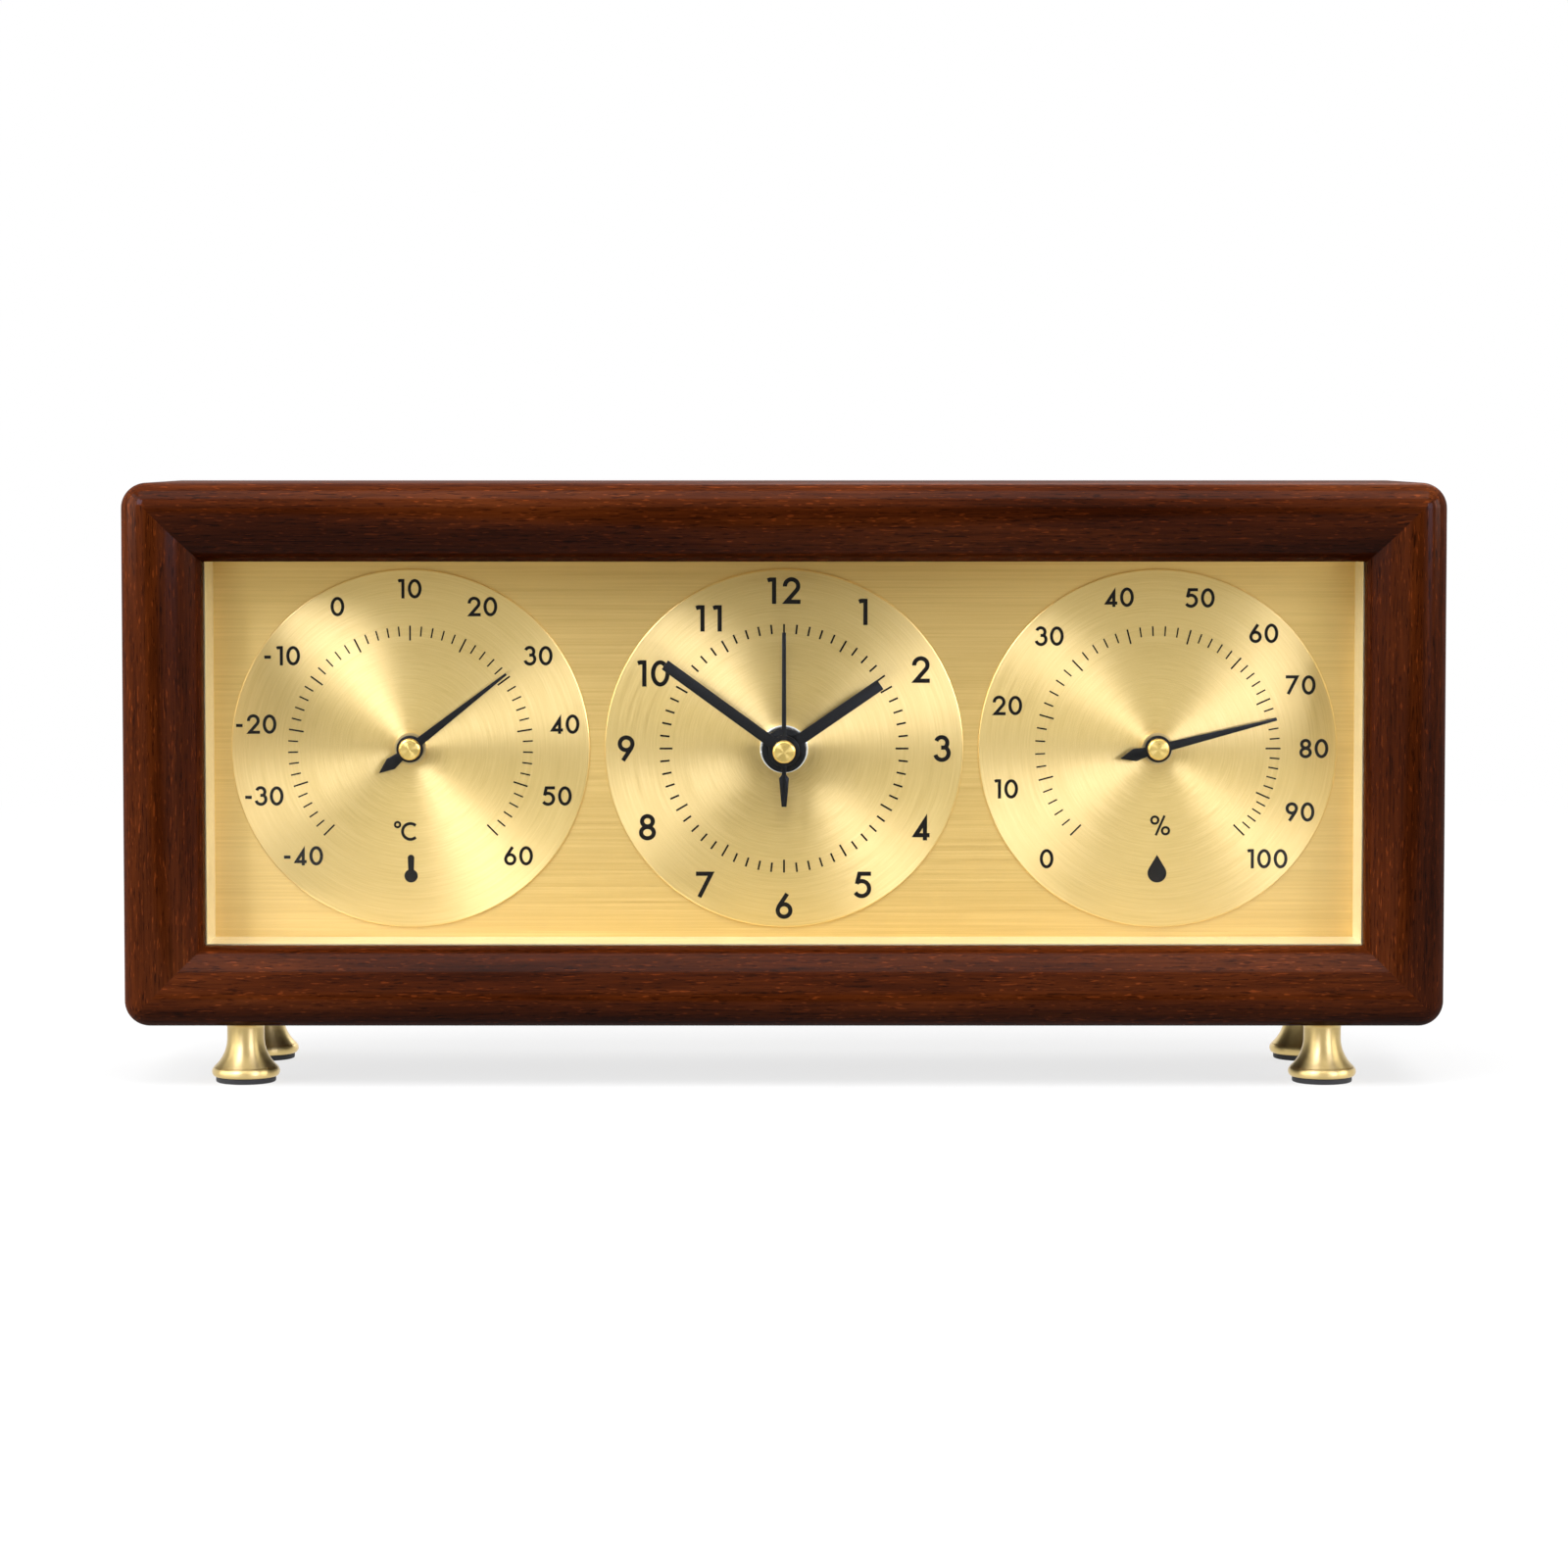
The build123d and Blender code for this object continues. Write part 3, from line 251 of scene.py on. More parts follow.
# %% Patterns
def noise(material, scale, centre=(0, 0, 0), detail=3.0, roughness=0.55, vector=None):
    """Noise with its own scale in each direction, about a centre, in cycles per metre."""
    if vector is None:
        vector = add(material, "TexCoord").outputs["Object"]
    mapping = add(material, "Mapping", [
        ("Vector", vector),
        ("Location", tuple(-c * s for c, s in zip(centre, scale))),
        ("Scale", scale),
    ])
    return add(material, "TexNoise", [
        ("Vector", mapping.outputs["Vector"]), ("Scale", 1.0), ("Detail", detail),
        ("Roughness", roughness),
    ]).outputs["Fac"]


def ramp(material, factor, stops):
    """Colour ramp: stops is a list of (position, colour)."""
    node = add(material, "ValToRGB", [("Fac", factor)])
    elements = node.color_ramp.elements
    while len(elements) < len(stops):
        elements.new(0.5)
    for element, (position, colour) in zip(elements, stops):
        element.position = position
        element.color = (*colour, 1)
    return node.outputs["Color"]


def spread(material, factor, low, high, from_low=0.3, from_high=0.7):
    """Map a factor from its usual range to a wanted one."""
    return add(material, "MapRange", [
        ("Value", factor), ("From Min", from_low), ("From Max", from_high),
        ("To Min", low), ("To Max", high),
    ]).outputs["Result"]


def multiply(material, colour, other, amount=1.0):
    """Multiply one colour by another: 6 and 7 are the node's inputs for two colours."""
    links = [("Factor", amount), (6, colour), (7, other)]
    return add(material, "Mix", links, data_type="RGBA", blend_type="MULTIPLY").outputs[2]


def grey(value):
    """The same value three times."""
    return (value, value, value)


def bump(material, shader, height, depth, previous=None):
    """Bump of a depth in metres, on top of an earlier one."""
    links = [("Height", height), ("Distance", depth), ("Strength", 1.0)]
    if previous is not None:
        links.append(("Normal", previous))
    node = add(material, "Bump", links)
    link(shader, "Normal", node.outputs["Normal"])
    return node.outputs["Normal"]


# %% [markdown]
# The case is solid hardwood, stained deep brown and lacquered. Grain is noise drawn out along the
# board: broad bands for the figure, fine streaks for the fibres, short dark dashes for the pores and
# pale flecks. The boards on the sides stand upright, so their pattern is turned with them.

# %% Wood
def make_wood(name, upright):
    """Stained and lacquered hardwood, with its grain along x, or along z for the upright boards."""
    material, shader = new_material(name, (0.09, 0.03, 0.012), roughness=0.34)

    def along(length_scale, cross_scale):
        if upright:
            return (cross_scale, cross_scale, length_scale)
        return (length_scale, cross_scale, cross_scale)

    figure = noise(material, along(9, 95), detail=5, roughness=0.62)
    fibre = noise(material, along(55, 1500), detail=4, roughness=0.7)
    pores = noise(material, along(300, 3000), detail=2, roughness=0.5)
    flecks = noise(material, along(420, 2500), centre=(0.4, 0.3, 0.7), detail=1)
    colour = ramp(material, figure, [
        (0.28, (0.028, 0.0048, 0.0007)), (0.45, (0.055, 0.0100, 0.0015)),
        (0.60, (0.090, 0.0180, 0.0030)), (0.78, (0.145, 0.0350, 0.0070)),
    ])
    streaks = ramp(material, fibre, [(0.30, grey(0.55)), (0.52, grey(1.0)), (0.75, grey(1.35))])
    dashes = ramp(material, pores, [(0.33, grey(0.30)), (0.42, grey(1.0))])
    lights = ramp(material, flecks, [(0.63, grey(1.0)), (0.72, (2.2, 2.2, 2.4))])
    colour = multiply(material, colour, streaks)
    colour = multiply(material, colour, dashes, 0.8)
    colour = multiply(material, colour, lights)
    link(shader, "Base Color", colour)
    link(shader, "Roughness", spread(material, fibre, 0.29, 0.40))
    shader.inputs["Specular IOR Level"].default_value = 0.0
    shader.inputs["Coat Weight"].default_value = 0.09
    shader.inputs["Coat Roughness"].default_value = 0.12
    first = bump(material, shader, pores, 0.02 * MM)
    bump(material, shader, fibre, 0.006 * MM, first)
    return material


wood_level = make_wood("wood_level", False)
wood_upright = make_wood("wood_upright", True)

# %% [markdown]
# The plate is brushed from side to side, so its scratches are noise drawn out along x. The discs are
# brushed in circles on a turntable: there the noise follows the angle, and the shader's anisotropy
# turns round the middle of each disc, which makes the fan of light and dark wedges.

# %% Brushed brass plate
def rough_along_z(material, shader, amount):
    """Stretch highlights along z, as marks that run round or across a piece do."""
    shader.inputs["Anisotropic"].default_value = amount
    upright = add(material, "CombineXYZ", [("Z", 1.0)]).outputs["Vector"]
    link(shader, "Tangent", upright)


def brushed_plate():
    """Lacquered brass sheet, brushed lengthwise."""
    material, shader = new_material("plate_brass", (0.60, 0.40, 0.13), metallic=1.0, roughness=0.42)
    scratches = noise(material, (14, 400, 2600), detail=5, roughness=0.75)
    cloud = noise(material, (9, 9, 26), detail=2)
    colour = ramp(material, scratches, [
        (0.25, (0.64, 0.420, 0.130)), (0.5, (0.74, 0.505, 0.175)), (0.75, (0.84, 0.595, 0.225)),
    ])
    clouds = ramp(material, cloud, [(0.3, grey(0.93)), (0.7, grey(1.05))])
    link(shader, "Base Color", multiply(material, colour, clouds))
    link(shader, "Roughness", spread(material, scratches, 0.38, 0.48))
    bump(material, shader, scratches, 0.003 * MM)
    rough_along_z(material, shader, 0.75)
    return material


plate_brass = brushed_plate()

# %% Discs brushed in circles
def turned_brass(name, middle_x, colours, roughness=0.36):
    """Brass brushed in circles round the middle of a dial."""
    material, shader = new_material(name, colours[1], metallic=1.0, roughness=roughness)
    place = add(material, "TexCoord").outputs["Object"]
    offset = calculate(material, "VectorMath", "SUBTRACT", place, (middle_x, 0, axis_z), output="Vector")
    axes = add(material, "SeparateXYZ", [("Vector", offset)]).outputs
    angle = calculate(material, "Math", "ARCTAN2", axes["Z"], axes["X"])
    flat = calculate(material, "VectorMath", "MULTIPLY", offset, (1, 0, 1), output="Vector")
    distance = calculate(material, "VectorMath", "LENGTH", flat)
    polar = add(material, "CombineXYZ", [("X", angle), ("Y", distance)]).outputs["Vector"]
    rings = noise(material, (1.6, 3200, 1), detail=5, roughness=0.8, vector=polar)
    colour = ramp(material, rings, [(0.25, colours[0]), (0.5, colours[1]), (0.75, colours[2])])
    link(shader, "Base Color", colour)
    link(shader, "Roughness", spread(material, rings, roughness - 0.05, roughness + 0.06))
    bump(material, shader, rings, 0.0025 * MM)
    link(shader, "Tangent", flat)
    shader.inputs["Anisotropic"].default_value = 0.9
    return material


disc_colours = ((0.70, 0.49, 0.17), (0.79, 0.57, 0.22), (0.87, 0.65, 0.28))
cap_colours = ((0.70, 0.47, 0.12), (0.81, 0.57, 0.17), (0.90, 0.67, 0.25))
cap_roughness = 0.30
disc_materials, cap_materials = {}, {}
for name, x in dial_middles.items():
    disc_materials[name + "_dial"] = turned_brass(name + "_disc_brass", x, disc_colours)
    cap_materials[name + "_cap"] = turned_brass(name + "_cap_brass", x, cap_colours, cap_roughness)

# %% [markdown]
# The reveal behind the glass is brass strip, but its colour is a pale cream and partly not metal, which
# paints in the bright reflection that the strip shows. The feet are turned brass, and the parts inside are
# turned or stamped metal. One recipe serves them all. The turning marks on a foot run round it, which
# draws its highlights out upwards.

# %% Plain metals
def metal(name, colour, roughness, scratch=0.05, depth=0.002, scale=(900, 900, 900), metallic=1.0):
    """Metal with fine wear: scratch varies the roughness, depth is in mm, scale in cycles per metre."""
    material, shader = new_material(name, colour, metallic=metallic, roughness=roughness)
    wear = noise(material, scale, detail=4, roughness=0.7)
    stain = noise(material, (70, 70, 70), detail=3)
    tint = ramp(material, stain, [(0.3, tuple(c * 0.90 for c in colour)), (0.7, colour)])
    link(shader, "Base Color", tint)
    shine = spread(material, wear, roughness - scratch, roughness + scratch)
    link(shader, "Roughness", shine)
    bump(material, shader, wear, depth * MM)
    return material


# Pale cream, partly non-metal brass: a painted reflection that brightens the reveal.
liner_brass = metal("liner_brass", (1.0, 0.92, 0.70), 0.22, 0.05, 0.001, (30, 1200, 1200), metallic=0.35)
foot_brass = metal("foot_brass", (0.64, 0.48, 0.20), 0.40, 0.04, 0.001, (150, 150, 2500))
rough_along_z(foot_brass, foot_brass.node_tree.nodes["Principled BSDF"], 0.85)
inner_brass = metal("inner_brass", (0.72, 0.53, 0.24), 0.33)
nut_plated = metal("nut_plated", (0.80, 0.80, 0.79), 0.20)
zinc_steel = metal("zinc_steel", (0.50, 0.50, 0.48), 0.34)
sheet_steel = metal("sheet_steel", (0.50, 0.50, 0.50), 0.40, 0.08, 0.004, (300, 2500, 300))
magnet_grey = metal("magnet_grey", (0.20, 0.20, 0.21), 0.45)
strip_metal = metal("strip_metal", (0.62, 0.55, 0.42), 0.32, 0.08, 0.004, (2500, 300, 2500))
contact_nickel = metal("contact_nickel", (0.74, 0.72, 0.66), 0.28)
coil_copper = metal("coil_copper", (0.62, 0.29, 0.13), 0.35, 0.10, 0.04, (4500, 100, 100))

# %% [markdown]
# Hands, rubber, board and mouldings are not metal. They share a recipe too: a colour and a shine that
# vary a little, and a fine bump for the grain of the mould or the paint.

# %% Paints, plastics and boards
def plain(name, colour, roughness, grain, depth, variation=0.15, stretch=(1, 1, 1), gloss=0.5):
    """Paint, plastic, rubber or board: grain is in cycles per metre, depth in mm, gloss is specular."""
    material, shader = new_material(name, colour, roughness=roughness)
    fine = noise(material, tuple(grain * s for s in stretch), detail=3, roughness=0.6)
    broad = noise(material, tuple(60 * s for s in stretch), detail=3)
    low = tuple(c * (1 - variation) for c in colour)
    high = tuple(c * (1 + variation) for c in colour)
    tint = ramp(material, broad, [(0.3, low), (0.7, high)])
    speckle = ramp(material, fine, [(0.35, grey(0.88)), (0.65, grey(1.08))])
    link(shader, "Base Color", multiply(material, tint, speckle))
    link(shader, "Roughness", spread(material, fine, roughness - 0.05, roughness + 0.06))
    shader.inputs["Specular IOR Level"].default_value = gloss
    bump(material, shader, fine, depth * MM)
    return material


hand_black = plain("hand_black", (0.007, 0.007, 0.008), 0.33, 3000, 0.003, gloss=0.15)
print_black = plain("print_black", (0.008, 0.006, 0.004), 0.45, 5000, 0.002, gloss=0.10)
pad_rubber = plain("pad_rubber", (0.018, 0.018, 0.018), 0.72, 1500, 0.02)
cover_board = plain("cover_board", (0.026, 0.022, 0.019), 0.62, 1300, 0.03, gloss=0.25)
backing_fibre = plain("backing_fibre", (0.21, 0.125, 0.065), 0.75, 1800, 0.03, stretch=(0.3, 1, 1))
moulded_black = plain("moulded_black", (0.014, 0.014, 0.015), 0.42, 2200, 0.012, gloss=0.3)
knob_black = plain("knob_black", (0.020, 0.020, 0.021), 0.30, 2500, 0.006, gloss=0.4)
housing_black = plain("housing_black", (0.018, 0.018, 0.018), 0.50, 1800, 0.012, gloss=0.3)
wheel_acetal = plain("wheel_acetal", (0.72, 0.71, 0.66), 0.35, 1500, 0.004, 0.04)
circuit_green = plain("circuit_green", (0.020, 0.110, 0.045), 0.30, 1200, 0.01, 0.2)
battery_wrap = plain("battery_wrap", (0.05, 0.14, 0.26), 0.25, 900, 0.002, 0.06, gloss=0.4)

# %% [markdown]
# The glass is a flat pane with nothing to bend, so it is a clear sheet that only adds a reflection. The
# Fresnel node makes that grow at a low angle. Light that is already inside the pane passes straight
# out, so its inner side adds no reflection of its own.

# %% Glass
def clear_glass():
    """Thin flat glass: clear, with the reflection of its surface."""
    material, shader = new_material("clear_glass", grey(0.8))
    pane_nodes = material.node_tree.nodes
    pane_nodes.remove(shader)
    see_through = add(material, "BsdfTransparent", [("Color", (0.985, 0.995, 0.99, 1))])
    shine = add(material, "BsdfGlossy", [("Roughness", 0.015), ("Color", (1, 1, 1, 1))])
    edge = add(material, "Fresnel", [("IOR", 1.4)]).outputs["Fac"]
    inner_side = add(material, "NewGeometry").outputs["Backfacing"]
    outer_shine = calculate(material, "Math", "SUBTRACT", edge, inner_side, use_clamp=True)
    pane = mixed(material, outer_shine, see_through.outputs["BSDF"], shine.outputs["BSDF"])
    link(pane_nodes["Material Output"], "Surface", pane)
    return material


pane_glass = clear_glass()

# %% [markdown]
# Every node gets its finish here, by name, also those that are made again below.

# %% Paint the CAD pieces
finishes = {
    wood_level: "case_top case_bottom",
    wood_upright: "case_left case_right",
    foot_brass: "foot_front_left foot_front_right foot_rear_left foot_rear_right",
    pad_rubber: "foot_pads neck_washer",
    pane_glass: "front_glass",
    liner_brass: "brass_liner",
    plate_brass: "dial_plate",
    hand_black: "hour_hand minute_hand second_hand thermometer_pointer hygrometer_pointer",
    nut_plated: "fixing_nut",
    cover_board: "back_cover",
    backing_fibre: "backing_board",
    zinc_steel: "back_screws clip_screws foot_screws housing_screws retaining_clips",
    moulded_black: "movement_front_case movement_rear_case",
    knob_black: "setting_knob",
    wheel_acetal: "hour_wheel motion_wheel third_wheel intermediate_wheel second_wheel",
    inner_brass: "centre_wheel thermometer_bushing hygrometer_bushing instrument_nuts "
                 "thermometer_arbor hygrometer_arbor",
    magnet_grey: "rotor",
    sheet_steel: "stator thermometer_bridge hygrometer_bridge",
    coil_copper: "motor_coil",
    circuit_green: "circuit_board",
    battery_wrap: "battery",
    contact_nickel: "battery_contacts",
    strip_metal: "thermometer_coil hygrometer_coil",
    housing_black: "thermometer_housing hygrometer_housing",
}
finishes |= {material: name for name, material in (disc_materials | cap_materials).items()}
painted = set()
for material, names in finishes.items():
    for name in names.split():
        nodes[name].data.materials.clear()
        nodes[name].data.materials.append(material)
        painted.add(name)
print("unpainted nodes:", sorted(set(nodes) - painted))

# %% [markdown]
# The case is one moulding cut into four boards: a rounded nose outside and a soft swell that falls to
# the opening. Each board is modelled as it would be cut. The outline is extruded to length, both ends
# are cut off at 45 degrees, and the outer part of each end is spun round the corner.

# %% Outline of the moulding
top_low, top_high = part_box("case_top")
case_left, case_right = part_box("case_left")[0].x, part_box("case_right")[1].x
case_bottom, case_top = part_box("case_bottom")[0].z, top_high.z
case_depth = top_high.y - top_low.y
rail_width = top_high.z - top_low.z
case_front = top_low.y
nose, corner = 5.0 * MM, 5.0 * MM
lip_drop, lip_back = 5.5 * MM, 9.0 * MM
board, ledge, rebate = 11.5 * MM, 7.5 * MM, 4.5 * MM
nose_steps, swell_steps, corner_steps = 14, 20, 10


def evenly(first, last, steps):
    """Numbers from the first to the last in equal steps."""
    return [first + (last - first) * step / steps for step in range(steps + 1)]


def moulding_outline():
    """Points of the outline: first the distance in from the outer face, then the depth."""
    points = []
    for turn in evenly(0, pi / 2, nose_steps)[:-1]:
        points.append((nose - nose * cos(turn), nose - nose * sin(turn)))
    width = rail_width - nose
    swell = (width**2 + lip_drop**2) / (2 * lip_drop)
    for turn in evenly(0, asin(width / swell), swell_steps):
        points.append((nose + swell * sin(turn), swell - swell * cos(turn)))
    points += [(rail_width, lip_back), (board, lip_back), (board, case_depth - rebate),
               (ledge, case_depth - rebate), (ledge, case_depth), (0, case_depth)]
    return points


print("points in the moulding's outline:", len(moulding_outline()))

# %% Boards
def make_board(name, middle, along, inward, length, material):
    """One board: middle of its outer front edge, direction of its length and direction inwards."""
    half = length / 2 - corner
    obj = flat_shape([middle - along * half + inward * across + Vector((0, depth, 0))
                      for across, depth in moulding_outline()])
    open_mesh(obj)
    pull(along * 2 * half)
    for end in (-1, 1):
        bpy.ops.mesh.select_all(action="SELECT")
        bpy.ops.mesh.bisect(plane_co=middle + along * end * length / 2,
                            plane_no=(along * end + inward).normalized(),
                            use_fill=True, clear_outer=True)
    for end in (-1, 1):
        close_mesh()
        pick_faces(obj, lambda centre: abs((centre - middle).dot(along) - end * half) < 1e-6)
        bpy.ops.object.mode_set(mode="EDIT")
        bpy.ops.mesh.spin(steps=corner_steps, angle=pi / 4,
                          center=middle + along * end * half + inward * corner,
                          axis=inward.cross(along * end))
    close_mesh()
    smooth(obj)
    settle(obj, name + "_board", material, "case", "case_wood", name)


up, right = Vector((0, 0, 1)), Vector((1, 0, 0))
case_width, case_height = case_right - case_left, case_top - case_bottom
middle_z = (case_bottom + case_top) / 2
make_board("case_top", Vector((0, case_front, case_top)), right, -up, case_width, wood_level)
make_board("case_bottom", Vector((0, case_front, case_bottom)), right, up, case_width, wood_level)
make_board("case_left", Vector((case_left, case_front, middle_z)), up, right, case_height, wood_upright)
make_board("case_right", Vector((case_right, case_front, middle_z)), up, -right, case_height, wood_upright)

# %% [markdown]
# Feet, pads, caps and screws are turned on a lathe. A circle is drawn at the first point of the
# outline, and then pulled up ring by ring, each ring scaled to its own radius.

# %% Turning
def turn_on_lathe(outline, sides=96):
    """Solid of rings round z: outline is a list of (radius, height), closed at both ends."""
    first_radius, first_height = outline[0]
    obj = round_face(first_radius, sides, (0, 0, first_height))
    open_mesh(obj)
    for (radius, height), (next_radius, next_height) in zip(outline, outline[1:]):
        pull((0, 0, next_height - height))
        share = next_radius / radius
        bpy.ops.transform.resize(value=(share, share, 1), center_override=(0, 0, next_height))
    close_mesh()
    place_in_mesh(obj)
    smooth(obj, 35)
    return obj


def round_rim(radius, height, bend, steps=6):
    """Points of a rounded upper rim, from the side of a turned piece to its top."""
    return [(radius - bend * (1 - cos(turn)), height - bend * (1 - sin(turn)))
            for turn in evenly(0, pi / 2, steps)]


def stand_on_dial(obj, x, y):
    """Lay a piece with its foot at a depth, facing the front, on the axis of a dial."""
    obj.rotation_euler = (pi / 2, 0, 0)
    obj.location = (x, y, axis_z)
    place_in_mesh(obj)


# %% [markdown]
# A foot is turned from brass bar: a rolled flange, a hollow flare up to a slim neck, and a small collar
# under the case. Its rubber pad has a soft edge. One foot and one pad are made and copied four times.

# %% Outline of a foot
foot_height = 12.0 * MM
pad_height, pad_radius, pad_edge = 1.1 * MM, 5.95 * MM, 0.3 * MM
flange_foot = 5.75 * MM
flange_top, flange_radius = 3.1 * MM, 6.75 * MM
flare_top, flare_radius = 8.8 * MM, 6.3 * MM
neck_top, neck_radius = 10.75 * MM, 3.7 * MM
collar_rise, collar_radius = 1.0 * MM, 4.7 * MM


def foot_outline():
    """Radius and height of a foot from its underside up: flange roll, hollow flare, neck, collar."""
    middle, half = (pad_height + flange_top) / 2, (flange_top - pad_height) / 2
    bulge = flange_radius - pad_radius
    points = [(flange_foot, pad_height)]
    for turn in evenly(-pi / 2, pi / 2, 8):
        points.append((pad_radius + bulge * cos(turn), middle + half * sin(turn)))
    reach, rise = flare_radius - neck_radius, flare_top - flange_top
    sweep = (reach**2 + rise**2) / (2 * reach)
    for turn in evenly(asin(rise / sweep), 0, 14):
        points.append((neck_radius + sweep * (1 - cos(turn)), flare_top - sweep * sin(turn)))
    for turn in evenly(0, pi / 2, 6):
        points.append((neck_radius + (collar_radius - neck_radius) * (1 - cos(turn)),
                       neck_top + collar_rise * sin(turn)))
    return points + [(collar_radius, foot_height)]


pad_outline = [
    (pad_radius - pad_edge, 0), (pad_radius - 0.3 * pad_edge, 0.3 * pad_edge), (pad_radius, pad_edge),
    (pad_radius, pad_height - 0.05 * MM), (pad_radius - 0.1 * MM, pad_height),
]
print("points in the outlines of foot and pad:", len(foot_outline()), len(pad_outline))

# %% Feet and pads
foot, pad = turn_on_lathe(foot_outline()), turn_on_lathe(pad_outline)
pads = []
for name in ("foot_front_left", "foot_front_right", "foot_rear_left", "foot_rear_right"):
    low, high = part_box(name)
    centre = ((low.x + high.x) / 2, (low.y + high.y) / 2, 0)
    settle(copy_to(foot, centre), name + "_turned", foot_brass, "case", "foot_brass", name)
    pads.append(copy_to(pad, centre))
settle(join(pads, "pads"), "rubber_pads", pad_rubber, "case", "pad_rubber", "foot_pads")
for model in (foot, pad):
    bpy.data.objects.remove(model)

# %% [markdown]
# Dials, hands and printing are flat work. Each is drawn face up on the floor, pulled up to its
# thickness, and laid against its dial at the end. Where two strokes cross, a union makes one clean body.

# %% Flat work
def rectangle(width, height, middle=0.0):
    """Outline of a rectangle, with its middle at a height."""
    low, high = middle - height / 2, middle + height / 2
    return [(width / 2, high), (-width / 2, high), (-width / 2, low), (width / 2, low)]


def flat_ring(centre, half_width, half_height, stroke, sides=72):
    """Flat ring or oval with a stroke of even width."""
    obj = round_face(1, sides, (*centre, 0))
    open_mesh(obj)
    bpy.ops.transform.resize(value=(half_width, half_height, 1), center_override=(*centre, 0))
    bpy.ops.mesh.inset(thickness=stroke, depth=0)
    bpy.ops.mesh.delete(type="FACE")
    close_mesh()
    return obj


def thicken(obj, thickness, start=0.0):
    """Pull a flat shape up to its thickness, from a height."""
    place_in_mesh(obj)
    open_mesh(obj)
    bpy.ops.transform.translate(value=(0, 0, start))
    pull((0, 0, thickness))
    bpy.ops.mesh.select_all(action="SELECT")
    bpy.ops.mesh.normals_make_consistent(inside=False)
    close_mesh()
    return obj


# %% Cutting, joining and breaking edges
def combine(pieces, operation="UNION"):
    """Join solids into one body, or cut the later ones out of the first."""
    base = pieces[0]
    for other in pieces[1:]:
        modify(base, "BOOLEAN", operation=operation, solver="EXACT", object=other)
        bpy.data.objects.remove(other)
    return base


def soften(obj, width):
    """Break the sharp edges of a solid with a bevel in two steps."""
    modify(obj, "BEVEL", width=width, segments=2, limit_method="ANGLE", angle_limit=radians(40))


def plug(radius, thickness):
    """Round solid that cuts a bore through a sheet."""
    return thicken(round_face(radius, 72), 3 * thickness, -thickness)


def arc(centre, radius, start, end, steps=22):
    """Points of an arc, from one angle to another, in degrees against the clock."""
    return [(centre[0] + radius * cos(turn), centre[1] + radius * sin(turn))
            for turn in evenly(radians(start), radians(end), steps)]


# %% [markdown]
# The three discs are turned sheet with a hole for the works. Their edge is broken with a tool, which
# shows as a thin bright line round each disc. A small bevel catches light in the same way.

# %% Discs
disc_sheet = dial_high.y - dial_low.y
disc_bores = {"thermometer_dial": 2.3 * MM, "clock_dial": 3.9 * MM, "hygrometer_dial": 2.3 * MM}
disc_edge = 0.2 * MM
for name, material in disc_materials.items():
    low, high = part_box(name)
    disc = flat_ring((0, 0), dial_radius, dial_radius, dial_radius - disc_bores[name], 192)
    thicken(disc, disc_sheet)
    soften(disc, disc_edge)
    smooth(disc, 20)
    stand_on_dial(disc, (low.x + high.x) / 2, high.y)
    settle(disc, name + "_disc", material, "case", "dial_brass", name)

# %% [markdown]
# The hands are stamped from thin sheet and painted black. The clock hands are blunt bars on a round
# boss, and the second hand and the two pointers are needles with a leaf behind it. Each is drawn as one
# outline, because a boss merged onto a blade would leave faces that lie exactly on each other.

# %% Outline of a hand
def crossing(outer, inner, radius):
    """Point where a straight edge from an outer to an inner point meets the boss."""
    outer, along = Vector(outer), Vector(inner) - Vector(outer)
    square, slope = along.dot(along), outer.dot(along)
    share = (-slope - sqrt(slope**2 - square * (outer.dot(outer) - radius**2))) / square
    return outer + along * share


def hand_outline(edge, boss):
    """Outline of a hand: edge is the right side of its blade, from the tip back, and of its tail."""
    front = crossing(edge[0], edge[1], boss)
    back = crossing(edge[2], edge[1], boss) if len(edge) > 2 else Vector((0, -boss))
    angles = [in_degrees(atan2(point.y, point.x)) for point in (front, back)]
    side = [edge[0], *arc((0, 0), boss, *angles, 30), *edge[2:]]
    return side + [(-x, y) for x, y in reversed(side) if x > 1e-9]


def bar_edge(width, length):
    """Right edge of a blunt bar from the boss outwards."""
    return [(width / 2, length), (width / 2, 0)]


def leaf_edge(tip, length, root, neck, tail, tail_tip, tail_length, widest):
    """Right edge of a needle with a leaf behind its boss."""
    return [(tip / 2, length), (root / 2, 0), (root / 2, -neck), (tail / 2, -tail_length * widest),
            (tail_tip / 2, -tail_length)]


# %% Hands
paint_edge = 0.07 * MM


def make_hand(name, edge, sheet, boss, bore, collet, degrees, body):
    """Sheet metal hand: right edge of its blade, round boss with a bore, and a collet behind it."""
    low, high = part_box(name)
    centre_x = dial_middles.get(name.replace("_pointer", ""), dial_middles["clock"])
    back = low.y + sheet
    blade = thicken(flat_shape(hand_outline(edge, boss)), sheet)
    hand = combine([blade, plug(bore, sheet)], "DIFFERENCE")
    soften(hand, paint_edge)
    if collet:
        tube = thicken(flat_ring((0, 0), collet, collet, collet - bore), high.y - back, back - high.y)
        hand = join([hand, tube], name)
    hand.rotation_euler = (0, 0, -radians(degrees))
    place_in_mesh(hand)
    smooth(hand)
    stand_on_dial(hand, centre_x, back)
    settle(hand, name + "_stamped", hand_black, body, "hand_black", name)


